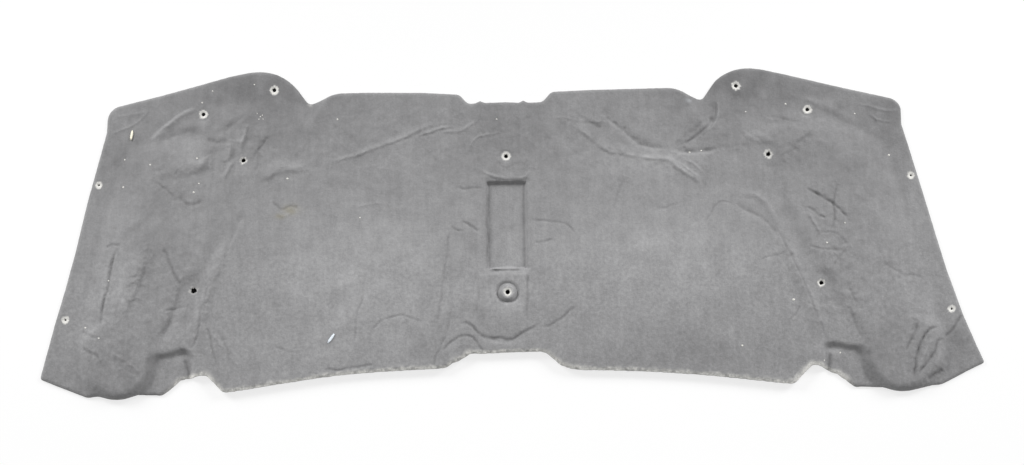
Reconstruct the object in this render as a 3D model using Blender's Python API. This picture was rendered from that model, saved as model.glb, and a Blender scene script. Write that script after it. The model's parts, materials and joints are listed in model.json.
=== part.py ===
"""Hood insulation pad: one hot-pressed felt moulding, lying flat with its engine side up.

Units are metres. +X runs across the pad, +Y towards the narrow edge (the hood's nose), +Z up.
The moulded relief is mirror-symmetric about X = 0. The folds are those of the worn pad.
"""

import math

import bmesh
import bpy
import numpy as np
from mathutils import Vector
from mathutils.geometry import delaunay_2d_cdt

# Thickness of the felt, measured up from the flat back
FLANGE_THICKNESS = 0.0040
LOFT_THICKNESS = 0.0110
WING_RISE = 0.0025

# Nose edge, from the centre notch out to the ear
NOSE_NOTCH_Y = 0.1925
NOSE_NOTCH_HALF_WIDTH = 0.0545
NOSE_NOTCH_DEPTH = 0.0142
NOSE_NOTCH_FLARE = 0.0125
NOSE_SHOULDER_X = 0.2480
NOSE_SHOULDER_RISE = 0.0045
EAR_VALLEY_X = 0.2873
EAR_VALLEY_Y = 0.1941
EAR_TIP_X = 0.3328
EAR_TIP_Y = 0.2550
EAR_RADIUS = 0.0750

# Side edge
NOSE_CORNER_X = 0.5785
NOSE_CORNER_Y = 0.1931
SIDE_UPPER_X = 0.5815
SIDE_UPPER_Y = 0.1560
SIDE_LOWER_X = 0.6330
SIDE_LOWER_Y = -0.0650
COWL_CORNER_X = 0.6738
COWL_CORNER_Y = -0.2035

# Cowl edge, from the side corner in to the centre notch
LOBE_OUTER_X = 0.6080
LOBE_X = 0.5620
LOBE_Y = -0.2400
LOBE_INNER_X = 0.5300
LOBE_SHOULDER_Y = -0.2310
STEP_OUTER_X = 0.4930
STEP_INNER_X = 0.4680
STEP_INNER_Y = -0.2105
SLOT_X = 0.4330
SLOT_Y = -0.1992
COWL_SHOULDER_X = 0.4055
COWL_SHOULDER_Y = -0.2260
COWL_BEND_X = 0.2350
COWL_BEND_Y = -0.2036
COWL_BEND_RADIUS = 2.4000
COWL_NOTCH_MOUTH_X = 0.0890
COWL_NOTCH_MOUTH_Y = -0.1985
COWL_NOTCH_HALF_WIDTH = 0.0545
COWL_NOTCH_Y = -0.1752

# Fillets of the outline
TIGHT_FILLET = 0.0040
FILLET = 0.0100
SOFT_FILLET = 0.0200
WIDE_FILLET = 0.0600
FILLET_SHARE = 0.97

# Slopes between the levels
SOFT_SLOPE = 0.0550
PANEL_SLOPE = 0.0120
STEP_SLOPE = 0.0085
LOBE_SLOPE = 0.0200
CROWN_SLOPE = 0.0220
SOFT_FROM_X = 0.2600
STEP_FROM_X = 0.4100
LOBE_FROM_X = 0.4900
LOBE_FROM_Y = -0.1250
SLOPE_BLEND = 0.0400
FAR = 1.0000

# Pressed flange between the cut edge and the lofted felt, which the centre panel runs past
EAR_FLANGE = 0.0480
SIDE_FLANGE = 0.0300
STEP_FLANGE = 0.0500
STEP_SLANT = 0.0110
SLOT_FLANGE = 0.0200
PANEL_OVERRUN = 0.0120
WING_CLIP_GAP = 0.0130
WING_NOSE_Y = 0.1300
WING_WAIST_Y = -0.1000
LOBE_HALF_WIDTH = 0.0610
LOBE_NOSE_Y = -0.1500
LOBE_OVERRUN = 0.0080

# Recess, tongue and boss along the centre line
RECESS_HALF_WIDTH = 0.0235
RECESS_NOSE_Y = 0.0710
RECESS_LENGTH = 0.1235
RECESS_FLOOR = 0.0045
RECESS_CORNER = 0.0030
RECESS_WALL = 0.0030
RECESS_WALL_SHARE = 0.80
RECESS_SHOULDER = 0.0070
TONGUE_HALF_WIDTH = 0.0350
TONGUE_SHIFT = -0.0060
TONGUE_GAP = 0.0110
TONGUE_END_GAP = 0.0460
TONGUE_RISE = 0.0012
TONGUE_EDGE = 0.0050
BOSS_RISE = 0.0035
BOSS_FOOT_RADIUS = 0.0140
BOSS_GROOVE_DEPTH = 0.0012
BOSS_GROOVE_WIDTH = 0.0040

# Clip holes
CLIP_HOLE_RADIUS = 0.0040
CLIP_SEAT_RADIUS = 0.0085
CLIP_SEAT_SINK = 0.0010
LEAST_DIMPLE = 0.00005
CLIP_DIMPLE_SLOPE = 0.0060
NOSE_CLIP_GAP = 0.0401
BOSS_GAP = 0.0378
EAR_CLIP_X = 0.3386
EAR_CLIP_DROP = 0.0243
WING_CLIP_X = 0.4418
WING_CLIP_DROP = 0.0461
VALLEY_CLIP_NOSE_Y = 0.1096
VALLEY_CLIP_COWL_Y = -0.0816
SIDE_CLIP_NOSE_Y = 0.0766
SIDE_CLIP_NOSE_INSET = 0.0097
SIDE_CLIP_COWL_Y = -0.1209
SIDE_CLIP_COWL_INSET = 0.0132

# Mesh fineness
GRID_STEP = 0.0126
GRID_GAP = 0.0080
GRID_REACH = 0.7000
BACK_STEP = 0.0600
BACK_GAP = 0.0200
LINE_STEP = 0.0100
LINED_SLOPE = 0.0300
ARC_STEP = math.radians(15.0)
SNAP = 0.0028
RING_GAP = 0.0010
NORMAL_TEST = 0.0005
WELD = 0.0004
LAYOUT_PRECISION = 1e-6
HOLE_SIDES = 12
RING_SIDES = 16

# Finish
FELT_COLOUR = (0.290, 0.292, 0.290, 1.0)
FELT_ROUGHNESS = 0.95
FELT_METALLIC = 0.0

# Sides of the valley between the right wing and the centre panel, nose end first
WING_EDGE = [(0.4400, 0.1750), (0.4000, 0.1480), (0.3790, 0.1050), (0.4070, -0.0060), (0.4390, -0.0640),
             (0.4570, -0.0930), (0.4760, -0.1290), (0.4990, -0.1600)]

# How a fold fades out: the share of its length at each end, and its height left at the very end
FOLD_FADE = 0.22
FOLD_END = 0.10
GROOVE_SHARPNESS = 1.4

# Folds of the worn felt: name, height (a groove is negative), widths left and right of its course, and
# the course
FOLDS = [
    ("left ear ridge", 0.0024, (0.0040, 0.0140), [(-0.518, 0.141), (-0.479, 0.176), (-0.451, 0.188)]),
    ("left ear hollow", -0.0024, (0.0120, 0.0200),
     [(-0.505, 0.137), (-0.485, 0.147), (-0.462, 0.151), (-0.437, 0.145)]),
    ("left wing swell", 0.0018, (0.0220, 0.0120), [(-0.501, 0.093), (-0.443, 0.100), (-0.421, 0.109)]),
    ("left valley top line", 0.0014, (0.0040, 0.0050), [(-0.377, 0.157), (-0.391, 0.117), (-0.409, 0.082)]),
    ("left valley top roll", 0.0008, (0.0040, 0.0090), [(-0.376, 0.162), (-0.387, 0.132)]),
    ("left valley top dent", -0.0009, (0.0060, 0.0060),
     [(-0.435, 0.139), (-0.418, 0.135), (-0.400, 0.137)]),
    ("left clip crease", -0.0013, (0.0040, 0.0040), [(-0.347, 0.145), (-0.369, 0.110)]),
    ("left valley roll", 0.0020, (0.0140, 0.0040), [(-0.360, 0.080), (-0.320, 0.096), (-0.286, 0.094)]),
    ("left valley groove", -0.0007, (0.0040, 0.0090),
     [(-0.361, 0.072), (-0.333, 0.087), (-0.317, 0.090), (-0.298, 0.088)]),
    ("left wing triangle", -0.0010, (0.0050, 0.0050),
     [(-0.474, 0.056), (-0.462, 0.045), (-0.451, 0.044), (-0.438, 0.051)]),
    ("left wing crease", -0.0020, (0.0040, 0.0040), [(-0.563, -0.021), (-0.585, -0.132)]),
    ("left wing outer roll", 0.0008, (0.0040, 0.0100), [(-0.570, -0.025), (-0.589, -0.123)]),
    ("left wing inner roll", 0.0024, (0.0220, 0.0260),
     [(-0.521, -0.016), (-0.540, -0.080), (-0.566, -0.128)]),
    ("left wing hollow", -0.0005, (0.0200, 0.0050), [(-0.512, -0.022), (-0.531, -0.086), (-0.544, -0.112)]),
    ("left valley edge", -0.0016, (0.0140, 0.0060), [(-0.466, -0.076), (-0.487, -0.138), (-0.499, -0.161)]),
    ("left valley upper crease", -0.0013, (0.0040, 0.0040), [(-0.494, -0.019), (-0.467, -0.076)]),
    ("left valley inner crest", 0.0019, (0.0120, 0.0180),
     [(-0.380, 0.022), (-0.417, -0.052), (-0.451, -0.162)]),
    ("left step fold", -0.0018, (0.0040, 0.0040), [(-0.461, -0.180), (-0.453, -0.207)]),
    ("left notch dent", -0.0010, (0.0080, 0.0080), [(-0.123, -0.162), (-0.115, -0.191)]),
    ("cowl notch fold", -0.0023, (0.0040, 0.0040),
     [(-0.095, -0.176), (-0.071, -0.156), (-0.062, -0.153), (-0.052, -0.155), (-0.038, -0.171),
      (-0.028, -0.174)]),
    ("centre crease", -0.0024, (0.0040, 0.0040),
     [(-0.072, -0.138), (-0.063, -0.134), (-0.034, -0.154), (0.002, -0.158), (0.047, -0.134)]),
    ("tongue end", -0.0020, (0.0240, 0.0060), [(-0.039, -0.155), (-0.002, -0.161), (0.029, -0.151)]),
    ("right dark patch", -0.0012, (0.0050, 0.0050), [(0.114, 0.162), (0.140, 0.151)]),
    ("right panel ridge", 0.0013, (0.0140, 0.0050), [(0.099, 0.153), (0.148, 0.118), (0.196, 0.107)]),
    ("right ridge lower", 0.0016, (0.0080, 0.0050), [(0.193, 0.107), (0.236, 0.102), (0.283, 0.069)]),
    ("right panel valley", -0.0024, (0.0090, 0.0060),
     [(0.140, 0.178), (0.149, 0.166), (0.197, 0.125), (0.244, 0.118)]),
    ("right dark triangle", -0.0018, (0.0080, 0.0060), [(0.245, 0.116), (0.268, 0.114), (0.309, 0.118)]),
    ("right triangle tail", -0.0010, (0.0050, 0.0050), [(0.302, 0.118), (0.352, 0.123)]),
    ("right ear crease", -0.0030, (0.0060, 0.0240), [(0.308, 0.194), (0.307, 0.176), (0.295, 0.150)]),
    ("right ear crease tail", -0.0016, (0.0040, 0.0040), [(0.297, 0.154), (0.260, 0.126)]),
    ("right ear arc side", -0.0015, (0.0040, 0.0050), [(0.405, 0.118), (0.433, 0.131), (0.458, 0.153)]),
    ("right ear swell", 0.0014, (0.0240, 0.0040), [(0.345, 0.140), (0.359, 0.132), (0.397, 0.126)]),
    ("right ear ridge", 0.0014, (0.0080, 0.0060), [(0.412, 0.201), (0.472, 0.181), (0.515, 0.154)]),
    ("right ear hollow", -0.0005, (0.0080, 0.0100), [(0.439, 0.161), (0.475, 0.168), (0.492, 0.163)]),
    ("right panel curve", -0.0022, (0.0090, 0.0040), [(0.328, 0.037), (0.368, 0.014), (0.391, -0.012)]),
    ("right valley curve crest", 0.0016, (0.0050, 0.0060),
     [(0.339, 0.050), (0.353, 0.051), (0.366, 0.045), (0.377, 0.033), (0.392, 0.001)]),
    ("right valley inner crest", 0.0018, (0.0070, 0.0180),
     [(0.390, -0.005), (0.413, -0.051), (0.455, -0.169)]),
    ("right valley lower edge", -0.0010, (0.0050, 0.0040),
     [(0.489, -0.114), (0.497, -0.148), (0.505, -0.161)]),
    ("right wing crease", -0.0018, (0.0040, 0.0040), [(0.435, 0.058), (0.481, 0.025), (0.492, 0.011)]),
    ("right lobe long fold", -0.0030, (0.0040, 0.0040),
     [(0.616, -0.146), (0.602, -0.151), (0.591, -0.162), (0.583, -0.176), (0.572, -0.223)]),
    ("right lobe short fold", -0.0028, (0.0040, 0.0040),
     [(0.622, -0.165), (0.612, -0.169), (0.600, -0.193), (0.582, -0.214)]),
    ("right lobe roll", 0.0012, (0.0050, 0.0050), [(0.604, -0.163), (0.579, -0.216)]),
    ("right lobe outer roll", 0.0007, (0.0090, 0.0050),
     [(0.621, -0.174), (0.616, -0.190), (0.605, -0.205)]),
    ("right lobe dent", -0.0026, (0.0060, 0.0050), [(0.594, -0.224), (0.619, -0.207)]),
    ("right step fold", -0.0020, (0.0040, 0.0040), [(0.458, -0.184), (0.454, -0.211)]),
]


def outline_corners():
    """Corners (across, along, radius) of the right half of the cut edge, nose centre to cowl centre."""
    nose_y = NOSE_NOTCH_Y + NOSE_NOTCH_DEPTH
    return [
        (NOSE_NOTCH_HALF_WIDTH, NOSE_NOTCH_Y, FILLET),
        (NOSE_NOTCH_HALF_WIDTH + NOSE_NOTCH_FLARE, nose_y, FILLET),
        (NOSE_SHOULDER_X, nose_y + NOSE_SHOULDER_RISE, WIDE_FILLET),
        (EAR_VALLEY_X, EAR_VALLEY_Y, FILLET),
        (EAR_TIP_X, EAR_TIP_Y, EAR_RADIUS),
        (NOSE_CORNER_X, NOSE_CORNER_Y, SOFT_FILLET),
        (SIDE_UPPER_X, SIDE_UPPER_Y, WIDE_FILLET),
        (SIDE_LOWER_X, SIDE_LOWER_Y, WIDE_FILLET),
        (COWL_CORNER_X, COWL_CORNER_Y, TIGHT_FILLET),
        (LOBE_OUTER_X, LOBE_SHOULDER_Y, SOFT_FILLET),
        (LOBE_X, LOBE_Y, WIDE_FILLET),
        (LOBE_INNER_X, LOBE_SHOULDER_Y, TIGHT_FILLET),
        (STEP_OUTER_X, LOBE_SHOULDER_Y, FILLET),
        (STEP_INNER_X, STEP_INNER_Y, FILLET),
        (SLOT_X, SLOT_Y, FILLET),
        (COWL_SHOULDER_X, COWL_SHOULDER_Y, FILLET),
        (COWL_BEND_X, COWL_BEND_Y, COWL_BEND_RADIUS),
        (COWL_NOTCH_MOUTH_X, COWL_NOTCH_MOUTH_Y, FILLET),
        (COWL_NOTCH_HALF_WIDTH, COWL_NOTCH_Y, FILLET),
    ]


def loft_corners():
    """Right half of the lofted area, which stands above the pressed flange."""
    nose_y = NOSE_NOTCH_Y + NOSE_NOTCH_DEPTH + PANEL_OVERRUN
    step_y = LOBE_SHOULDER_Y + STEP_FLANGE
    wing_clip_y = edge_at(WING_CLIP_X, 1) - WING_CLIP_DROP
    return [
        (NOSE_NOTCH_HALF_WIDTH, NOSE_NOTCH_Y + PANEL_OVERRUN, FILLET),
        (NOSE_NOTCH_HALF_WIDTH + NOSE_NOTCH_FLARE, nose_y, FILLET),
        (NOSE_SHOULDER_X, nose_y + NOSE_SHOULDER_RISE, SOFT_FILLET),
        (EAR_VALLEY_X, EAR_VALLEY_Y, SOFT_FILLET),
        (EAR_TIP_X, EAR_TIP_Y - EAR_FLANGE, SOFT_FILLET),
        (WING_CLIP_X, wing_clip_y + WING_CLIP_GAP, WIDE_FILLET),
        (edge_at(WING_NOSE_Y, 0) - SIDE_FLANGE, WING_NOSE_Y, WIDE_FILLET),
        (edge_at(WING_WAIST_Y, 0) - SIDE_FLANGE, WING_WAIST_Y, WIDE_FILLET),
        (LOBE_X + LOBE_HALF_WIDTH, LOBE_NOSE_Y, WIDE_FILLET),
        (LOBE_X + LOBE_HALF_WIDTH, LOBE_Y - LOBE_OVERRUN, WIDE_FILLET),
        (LOBE_X - LOBE_HALF_WIDTH, LOBE_Y - LOBE_OVERRUN, WIDE_FILLET),
        (LOBE_X - LOBE_HALF_WIDTH, step_y, FILLET),
        (SLOT_X + SLOT_FLANGE, step_y + STEP_SLANT, FILLET),
        (SLOT_X + SLOT_FLANGE, SLOT_Y - PANEL_OVERRUN, FILLET),
        (COWL_SHOULDER_X, COWL_SHOULDER_Y - PANEL_OVERRUN, FILLET),
        (COWL_BEND_X, COWL_BEND_Y - PANEL_OVERRUN, COWL_BEND_RADIUS),
        (COWL_NOTCH_MOUTH_X, COWL_NOTCH_MOUTH_Y - PANEL_OVERRUN, FILLET),
        (COWL_NOTCH_HALF_WIDTH, COWL_NOTCH_Y - PANEL_OVERRUN, FILLET),
    ]


def wing_area():
    """An area that takes in all of the pad outboard of the right valley."""
    (nose_x, _), (cowl_x, _) = WING_EDGE[0], WING_EDGE[-1]
    return np.array([(nose_x, FAR)] + WING_EDGE + [(cowl_x, -FAR), (FAR, -FAR), (FAR, FAR)])


def mirrored(corners):
    """A right-half run of corners, closed by its mirror image."""
    return corners + [(-x, y, radius) for x, y, radius in reversed(corners)]


def split(start, end, step):
    """Points from start up to, but without, end, no further apart than step."""
    pieces = max(1, math.ceil((end - start).length / step))
    return [start.lerp(end, i / pieces) for i in range(pieces)]


def corner_turn(corners, i):
    """The sides that meet at a corner, as vectors from it, and the angle turned there."""
    corner = Vector(corners[i][:2])
    back = Vector(corners[i - 1][:2]) - corner
    ahead = Vector(corners[(i + 1) % len(corners)][:2]) - corner
    return corner, back, ahead, math.pi - back.angle(ahead)


def fillet_reaches(corners):
    """How far each fillet reaches along its sides, shortened where two fillets would meet."""
    turns = [corner_turn(corners, i) for i in range(len(corners))]
    wanted = [radius * math.tan(turn / 2) for (_, _, radius), (_, _, _, turn) in zip(corners, turns)]
    reaches = []
    for i, (_, back, ahead, _) in enumerate(turns):
        before = FILLET_SHARE * back.length / (wanted[i] + wanted[i - 1])
        after = FILLET_SHARE * ahead.length / (wanted[i] + wanted[(i + 1) % len(wanted)])
        reaches.append(wanted[i] * min(1.0, before, after))
    return reaches


def rounded_loop(corners, step=LINE_STEP):
    """A closed run of points through corners that are filleted by their own radius."""
    stretches = []
    for i, reach in enumerate(fillet_reaches(corners)):
        corner, back, ahead, turn = corner_turn(corners, i)
        arc_radius = reach / math.tan(turn / 2)
        towards = (back.normalized() + ahead.normalized()).normalized()
        centre = corner + towards * (arc_radius / math.cos(turn / 2))
        start = corner + back.normalized() * reach - centre
        side = math.copysign(1.0, back.x * ahead.y - back.y * ahead.x)
        pieces = max(1, math.ceil(turn / ARC_STEP), math.ceil(arc_radius * turn / step))
        stretches.append([centre + rotated(start, -side * turn * k / pieces) for k in range(pieces + 1)])
    points = []
    for i, arc in enumerate(stretches):
        points += arc[:-1] + split(arc[-1], stretches[(i + 1) % len(stretches)][0], step)
    return np.array([tuple(p) for p in points])


def rotated(vector, angle):
    """A 2D vector turned by an angle."""
    c, s = math.cos(angle), math.sin(angle)
    return Vector((vector.x * c - vector.y * s, vector.x * s + vector.y * c))


def open_path(points, step=LINE_STEP):
    """A Catmull-Rom curve through the points, sampled about every step."""
    knots = [Vector(p) for p in points]
    knots = [knots[0] * 2 - knots[1]] + knots + [knots[-1] * 2 - knots[-2]]
    path = []
    for a, b, c, d in zip(knots, knots[1:], knots[2:], knots[3:]):
        pieces = max(1, round((c - b).length / step))
        for k in range(pieces):
            t = k / pieces
            path.append((b * 2 + (c - a) * t + (a * 2 - b * 5 + c * 4 - d) * t ** 2
                         + (b * 3 - a - c * 3 + d) * t ** 3) / 2)
    path.append(knots[-2])
    return np.array([tuple(p) for p in path])


def circle(centre, radius, sides):
    """Points of a circle round a centre."""
    angles = (np.arange(sides) + 0.5) * 2 * math.pi / sides
    return np.column_stack([centre[0] + radius * np.cos(angles), centre[1] + radius * np.sin(angles)])


def path_distance(points, path, closed):
    """Distance from each point to a path, and how far along the path (0 to 1) its nearest spot lies."""
    ends = np.roll(path, -1, axis=0) if closed else path[1:]
    starts = path if closed else path[:-1]
    span = ends - starts
    lengths = np.linalg.norm(span, axis=1)
    offsets = np.concatenate([[0.0], np.cumsum(lengths)[:-1]])
    away = points[:, None, :] - starts[None]
    share = np.clip((away * span).sum(2) / (lengths ** 2), 0, 1)
    distance = np.linalg.norm(away - share[..., None] * span, axis=2)
    nearest = distance.argmin(1)
    rows = np.arange(len(points))
    along = (offsets[nearest] + share[rows, nearest] * lengths[nearest]) / lengths.sum()
    return distance[rows, nearest], along


def inside(points, loop):
    """True for each point inside a closed loop."""
    x, y = points[:, :1], points[:, 1:]
    x0, y0 = loop[:, 0], loop[:, 1]
    x1, y1 = np.roll(x0, -1), np.roll(y0, -1)
    rise = np.where(y1 == y0, 1.0, y1 - y0)
    crossing = ((y0 > y) != (y1 > y)) & (x < x0 + (y - y0) * (x1 - x0) / rise)
    return crossing.sum(1) % 2 == 1


def depth(points, loop):
    """Distance of each point inside a loop, negative outside it."""
    distance = path_distance(points, loop, True)[0]
    return np.where(inside(points, loop), distance, -distance)


def smooth(share):
    """An S-curve from 0 to 1."""
    t = np.clip(share, 0, 1)
    return t * t * (3 - 2 * t)


def slope_width(points):
    """Width of the slope up from the flange: steep round the lobes and steps, soft along the wings."""
    x, y = np.abs(points[:, 0]), points[:, 1]
    wing = smooth((x - SOFT_FROM_X) / SLOPE_BLEND) * smooth((y - LOBE_FROM_Y) / SLOPE_BLEND + 1)
    step = smooth((x - STEP_FROM_X) / SLOPE_BLEND) * smooth((LOBE_FROM_Y - y) / SLOPE_BLEND)
    steep = STEP_SLOPE + (LOBE_SLOPE - STEP_SLOPE) * smooth((x - LOBE_FROM_X) / SLOPE_BLEND)
    width = PANEL_SLOPE + (SOFT_SLOPE - PANEL_SLOPE) * wing
    return width + (steep - width) * step


def box_depth(points, centre, half_size):
    """Distance outside a box in plan, zero or negative inside it."""
    over = np.abs(points - np.array(centre)) - np.array(half_size)
    return np.linalg.norm(np.maximum(over, 0), axis=1) + np.minimum(over.max(1), 0)


def recess_centre_y():
    return RECESS_NOSE_Y - RECESS_LENGTH / 2


def recess_cowl_y():
    return RECESS_NOSE_Y - RECESS_LENGTH


def tongue_end_y():
    return COWL_NOTCH_Y + TONGUE_END_GAP


def moulded_height(points):
    """Height of the pressed relief without clips and folds."""
    half = np.column_stack([np.abs(points[:, 0]), points[:, 1]])
    loft = depth(points, LOFT_LOOP)
    height = FLANGE_THICKNESS + (LOFT_THICKNESS - FLANGE_THICKNESS) * smooth(loft / slope_width(points))
    wing = np.minimum(loft, depth(half, WING_AREA))
    height = height + WING_RISE * smooth(wing / CROWN_SLOPE)
    return tongue_height(points, height)


def tongue_height(points, height):
    """The flat tongue between the recess and the cowl notch."""
    nose_y = recess_cowl_y() - TONGUE_GAP
    centre = (TONGUE_SHIFT, (nose_y + tongue_end_y()) / 2)
    away = box_depth(points, centre, (TONGUE_HALF_WIDTH, (nose_y - tongue_end_y()) / 2))
    return height + TONGUE_RISE * (1 - smooth(away / TONGUE_EDGE + 0.5))


def recess_share(points):
    """How far each point is out of the recess: 0 on its floor, 1 on the panel."""
    away = box_depth(points, (0.0, recess_centre_y()), (RECESS_HALF_WIDTH, RECESS_LENGTH / 2))
    wall = RECESS_WALL_SHARE * np.clip(away / RECESS_WALL, 0, 1)
    shoulder = (1 - RECESS_WALL_SHARE) * smooth((away - RECESS_WALL) / RECESS_SHOULDER)
    return wall + shoulder


def fold_height(points):
    """Sum of the folds: each a crest or a groove that fades out at its two ends."""
    height = np.zeros(len(points))
    for _, rise, widths, course in FOLDS:
        path = open_path(course)
        distance, along = path_distance(points, path, False)
        side = np.where(left_of(points, path), *widths)
        share = np.clip(1 - distance / side, 0, 1)
        fade = smooth(np.minimum(along, 1 - along) / FOLD_FADE + FOLD_END)
        height += rise * fade * (share ** GROOVE_SHARPNESS if rise < 0 else smooth(share))
    return height


def left_of(points, path):
    """True for each point on the left of a path, looking along it."""
    starts, span = path[:-1], path[1:] - path[:-1]
    nearest = np.linalg.norm(points[:, None, :] - (starts + span / 2)[None], axis=2).argmin(1)
    away = points - starts[nearest]
    return span[nearest, 0] * away[:, 1] - span[nearest, 1] * away[:, 0] > 0


def edge_at(coordinate, axis):
    """Where the outline crosses a line: its largest X at a given Y (axis 0), or Y at a given X (axis 1)."""
    here, there = OUTLINE, np.roll(OUTLINE, -1, axis=0)
    a, b = here[:, 1 - axis], there[:, 1 - axis]
    crossing = (a <= coordinate) != (b <= coordinate)
    share = (coordinate - a[crossing]) / (b - a)[crossing]
    return float((here[crossing, axis] + share * (there - here)[crossing, axis]).max())


def valley_x(y):
    """Where the valley between wing and panel lies at a given Y."""
    xs, ys = zip(*reversed(WING_EDGE))
    return float(np.interp(y, ys, xs))


def clip_places():
    """Centres of the clip holes: the two on the centre line, then the six mirrored pairs."""
    pairs = [
        (EAR_CLIP_X, edge_at(EAR_CLIP_X, 1) - EAR_CLIP_DROP),
        (WING_CLIP_X, edge_at(WING_CLIP_X, 1) - WING_CLIP_DROP),
        (valley_x(VALLEY_CLIP_NOSE_Y), VALLEY_CLIP_NOSE_Y),
        (valley_x(VALLEY_CLIP_COWL_Y), VALLEY_CLIP_COWL_Y),
        (edge_at(SIDE_CLIP_NOSE_Y, 0) - SIDE_CLIP_NOSE_INSET, SIDE_CLIP_NOSE_Y),
        (edge_at(SIDE_CLIP_COWL_Y, 0) - SIDE_CLIP_COWL_INSET, SIDE_CLIP_COWL_Y),
    ]
    centre = [(0.0, RECESS_NOSE_Y + NOSE_CLIP_GAP), boss_centre()]
    return centre + pairs + [(-x, y) for x, y in pairs]


def boss_centre():
    return (0.0, recess_cowl_y() - BOSS_GAP)


def felt_height(centre):
    """Height of the felt at a clip, before its seat is pressed in."""
    return float(moulded_height(np.array([centre]))[0])


def clip_seat_height(centre):
    """Height of the flat seat round one clip hole."""
    if centre == boss_centre():
        return felt_height(centre) + BOSS_RISE
    return max(FLANGE_THICKNESS, felt_height(centre) - CLIP_SEAT_SINK)


def pad_height(points):
    """Height of the engine side over each point."""
    share = recess_share(points)
    height = moulded_height(points) + fold_height(points)
    height = RECESS_FLOOR + (height - RECESS_FLOOR) * share
    for centre in clip_places():
        away = np.linalg.norm(points - np.array(centre), axis=1)
        if centre == boss_centre():
            groove = np.clip(1 - np.abs(away - BOSS_FOOT_RADIUS) / BOSS_GROOVE_WIDTH, 0, 1)
            height = height - BOSS_GROOVE_DEPTH * groove
            blend = np.clip((away - CLIP_SEAT_RADIUS) / (BOSS_FOOT_RADIUS - CLIP_SEAT_RADIUS), 0, 1)
        else:
            blend = smooth((away - CLIP_SEAT_RADIUS) / CLIP_DIMPLE_SLOPE)
        seat = clip_seat_height(centre)
        height = seat + (height - seat) * blend
    return np.maximum(height, FLANGE_THICKNESS)


def inward(loop, offsets):
    """A loop moved inwards, each point along its own normal by its own offset."""
    tangent = np.roll(loop, -1, axis=0) - np.roll(loop, 1, axis=0)
    normal = np.column_stack([-tangent[:, 1], tangent[:, 0]])
    normal /= np.linalg.norm(normal, axis=1)[:, None]
    test = inside(loop + normal * NORMAL_TEST, loop)
    normal[~test] *= -1
    return loop + normal * offsets[:, None]


def beside(path, offset):
    """An open path moved sideways."""
    tangent = np.gradient(path, axis=0)
    normal = np.column_stack([-tangent[:, 1], tangent[:, 0]])
    return path + normal / np.linalg.norm(normal, axis=1)[:, None] * offset


def box_loop(grow):
    """The recess outline, grown by a distance."""
    x = RECESS_HALF_WIDTH + grow
    y0, y1 = recess_cowl_y() - grow, RECESS_NOSE_Y + grow
    radius = RECESS_CORNER + grow
    return rounded_loop([(x, y1, radius), (x, y0, radius), (-x, y0, radius), (-x, y1, radius)])


def tongue_loop(grow):
    """The tongue outline, grown by a distance."""
    left, right = TONGUE_SHIFT - TONGUE_HALF_WIDTH - grow, TONGUE_SHIFT + TONGUE_HALF_WIDTH + grow
    y0, y1 = tongue_end_y() - grow, recess_cowl_y() - TONGUE_GAP + grow
    return rounded_loop([(right, y1, FILLET), (right, y0, FILLET), (left, y0, FILLET), (left, y1, FILLET)])


def feature_lines():
    """Lines that the mesh follows, as (points, closed)."""
    lines = [(box_loop(grow), True) for grow in (0.0, RECESS_WALL, RECESS_WALL + RECESS_SHOULDER)]
    lines += [(tongue_loop(grow), True) for grow in (-TONGUE_EDGE / 2, TONGUE_EDGE / 2)]
    lines.append((LOFT_LOOP, True))
    for _, _, (left, right), course in FOLDS:
        path = open_path(course)
        lines += [(path, False), (beside(path, left), False), (beside(path, -right), False)]
    return lines


def slope_line():
    """The top of the slopes up from the flange, and which of its points end a slope that is not soft."""
    widths = slope_width(LOFT_LOOP)
    return inward(LOFT_LOOP, widths), widths < LINED_SLOPE


def keep_clear(points, clips, edge_gap):
    """True for each point that is well inside the outline and off the clips' own rings."""
    clear = depth(points, OUTLINE) > edge_gap
    for centre in clips:
        away = np.linalg.norm(points - np.array(centre), axis=1)
        clear &= away > CLIP_SEAT_RADIUS + CLIP_DIMPLE_SLOPE + RING_GAP
    return clear


def grid_points(step):
    """A triangular grid of points over the pad, the same on both halves."""
    row_step = step * math.sqrt(3) / 2
    columns, rows = math.ceil(GRID_REACH / step), math.ceil(GRID_REACH / 2 / row_step)
    return np.array([((column + 0.5 * (row % 2)) * step, row * row_step)
                     for row in range(-rows, rows + 1) for column in range(-columns, columns)])


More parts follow.
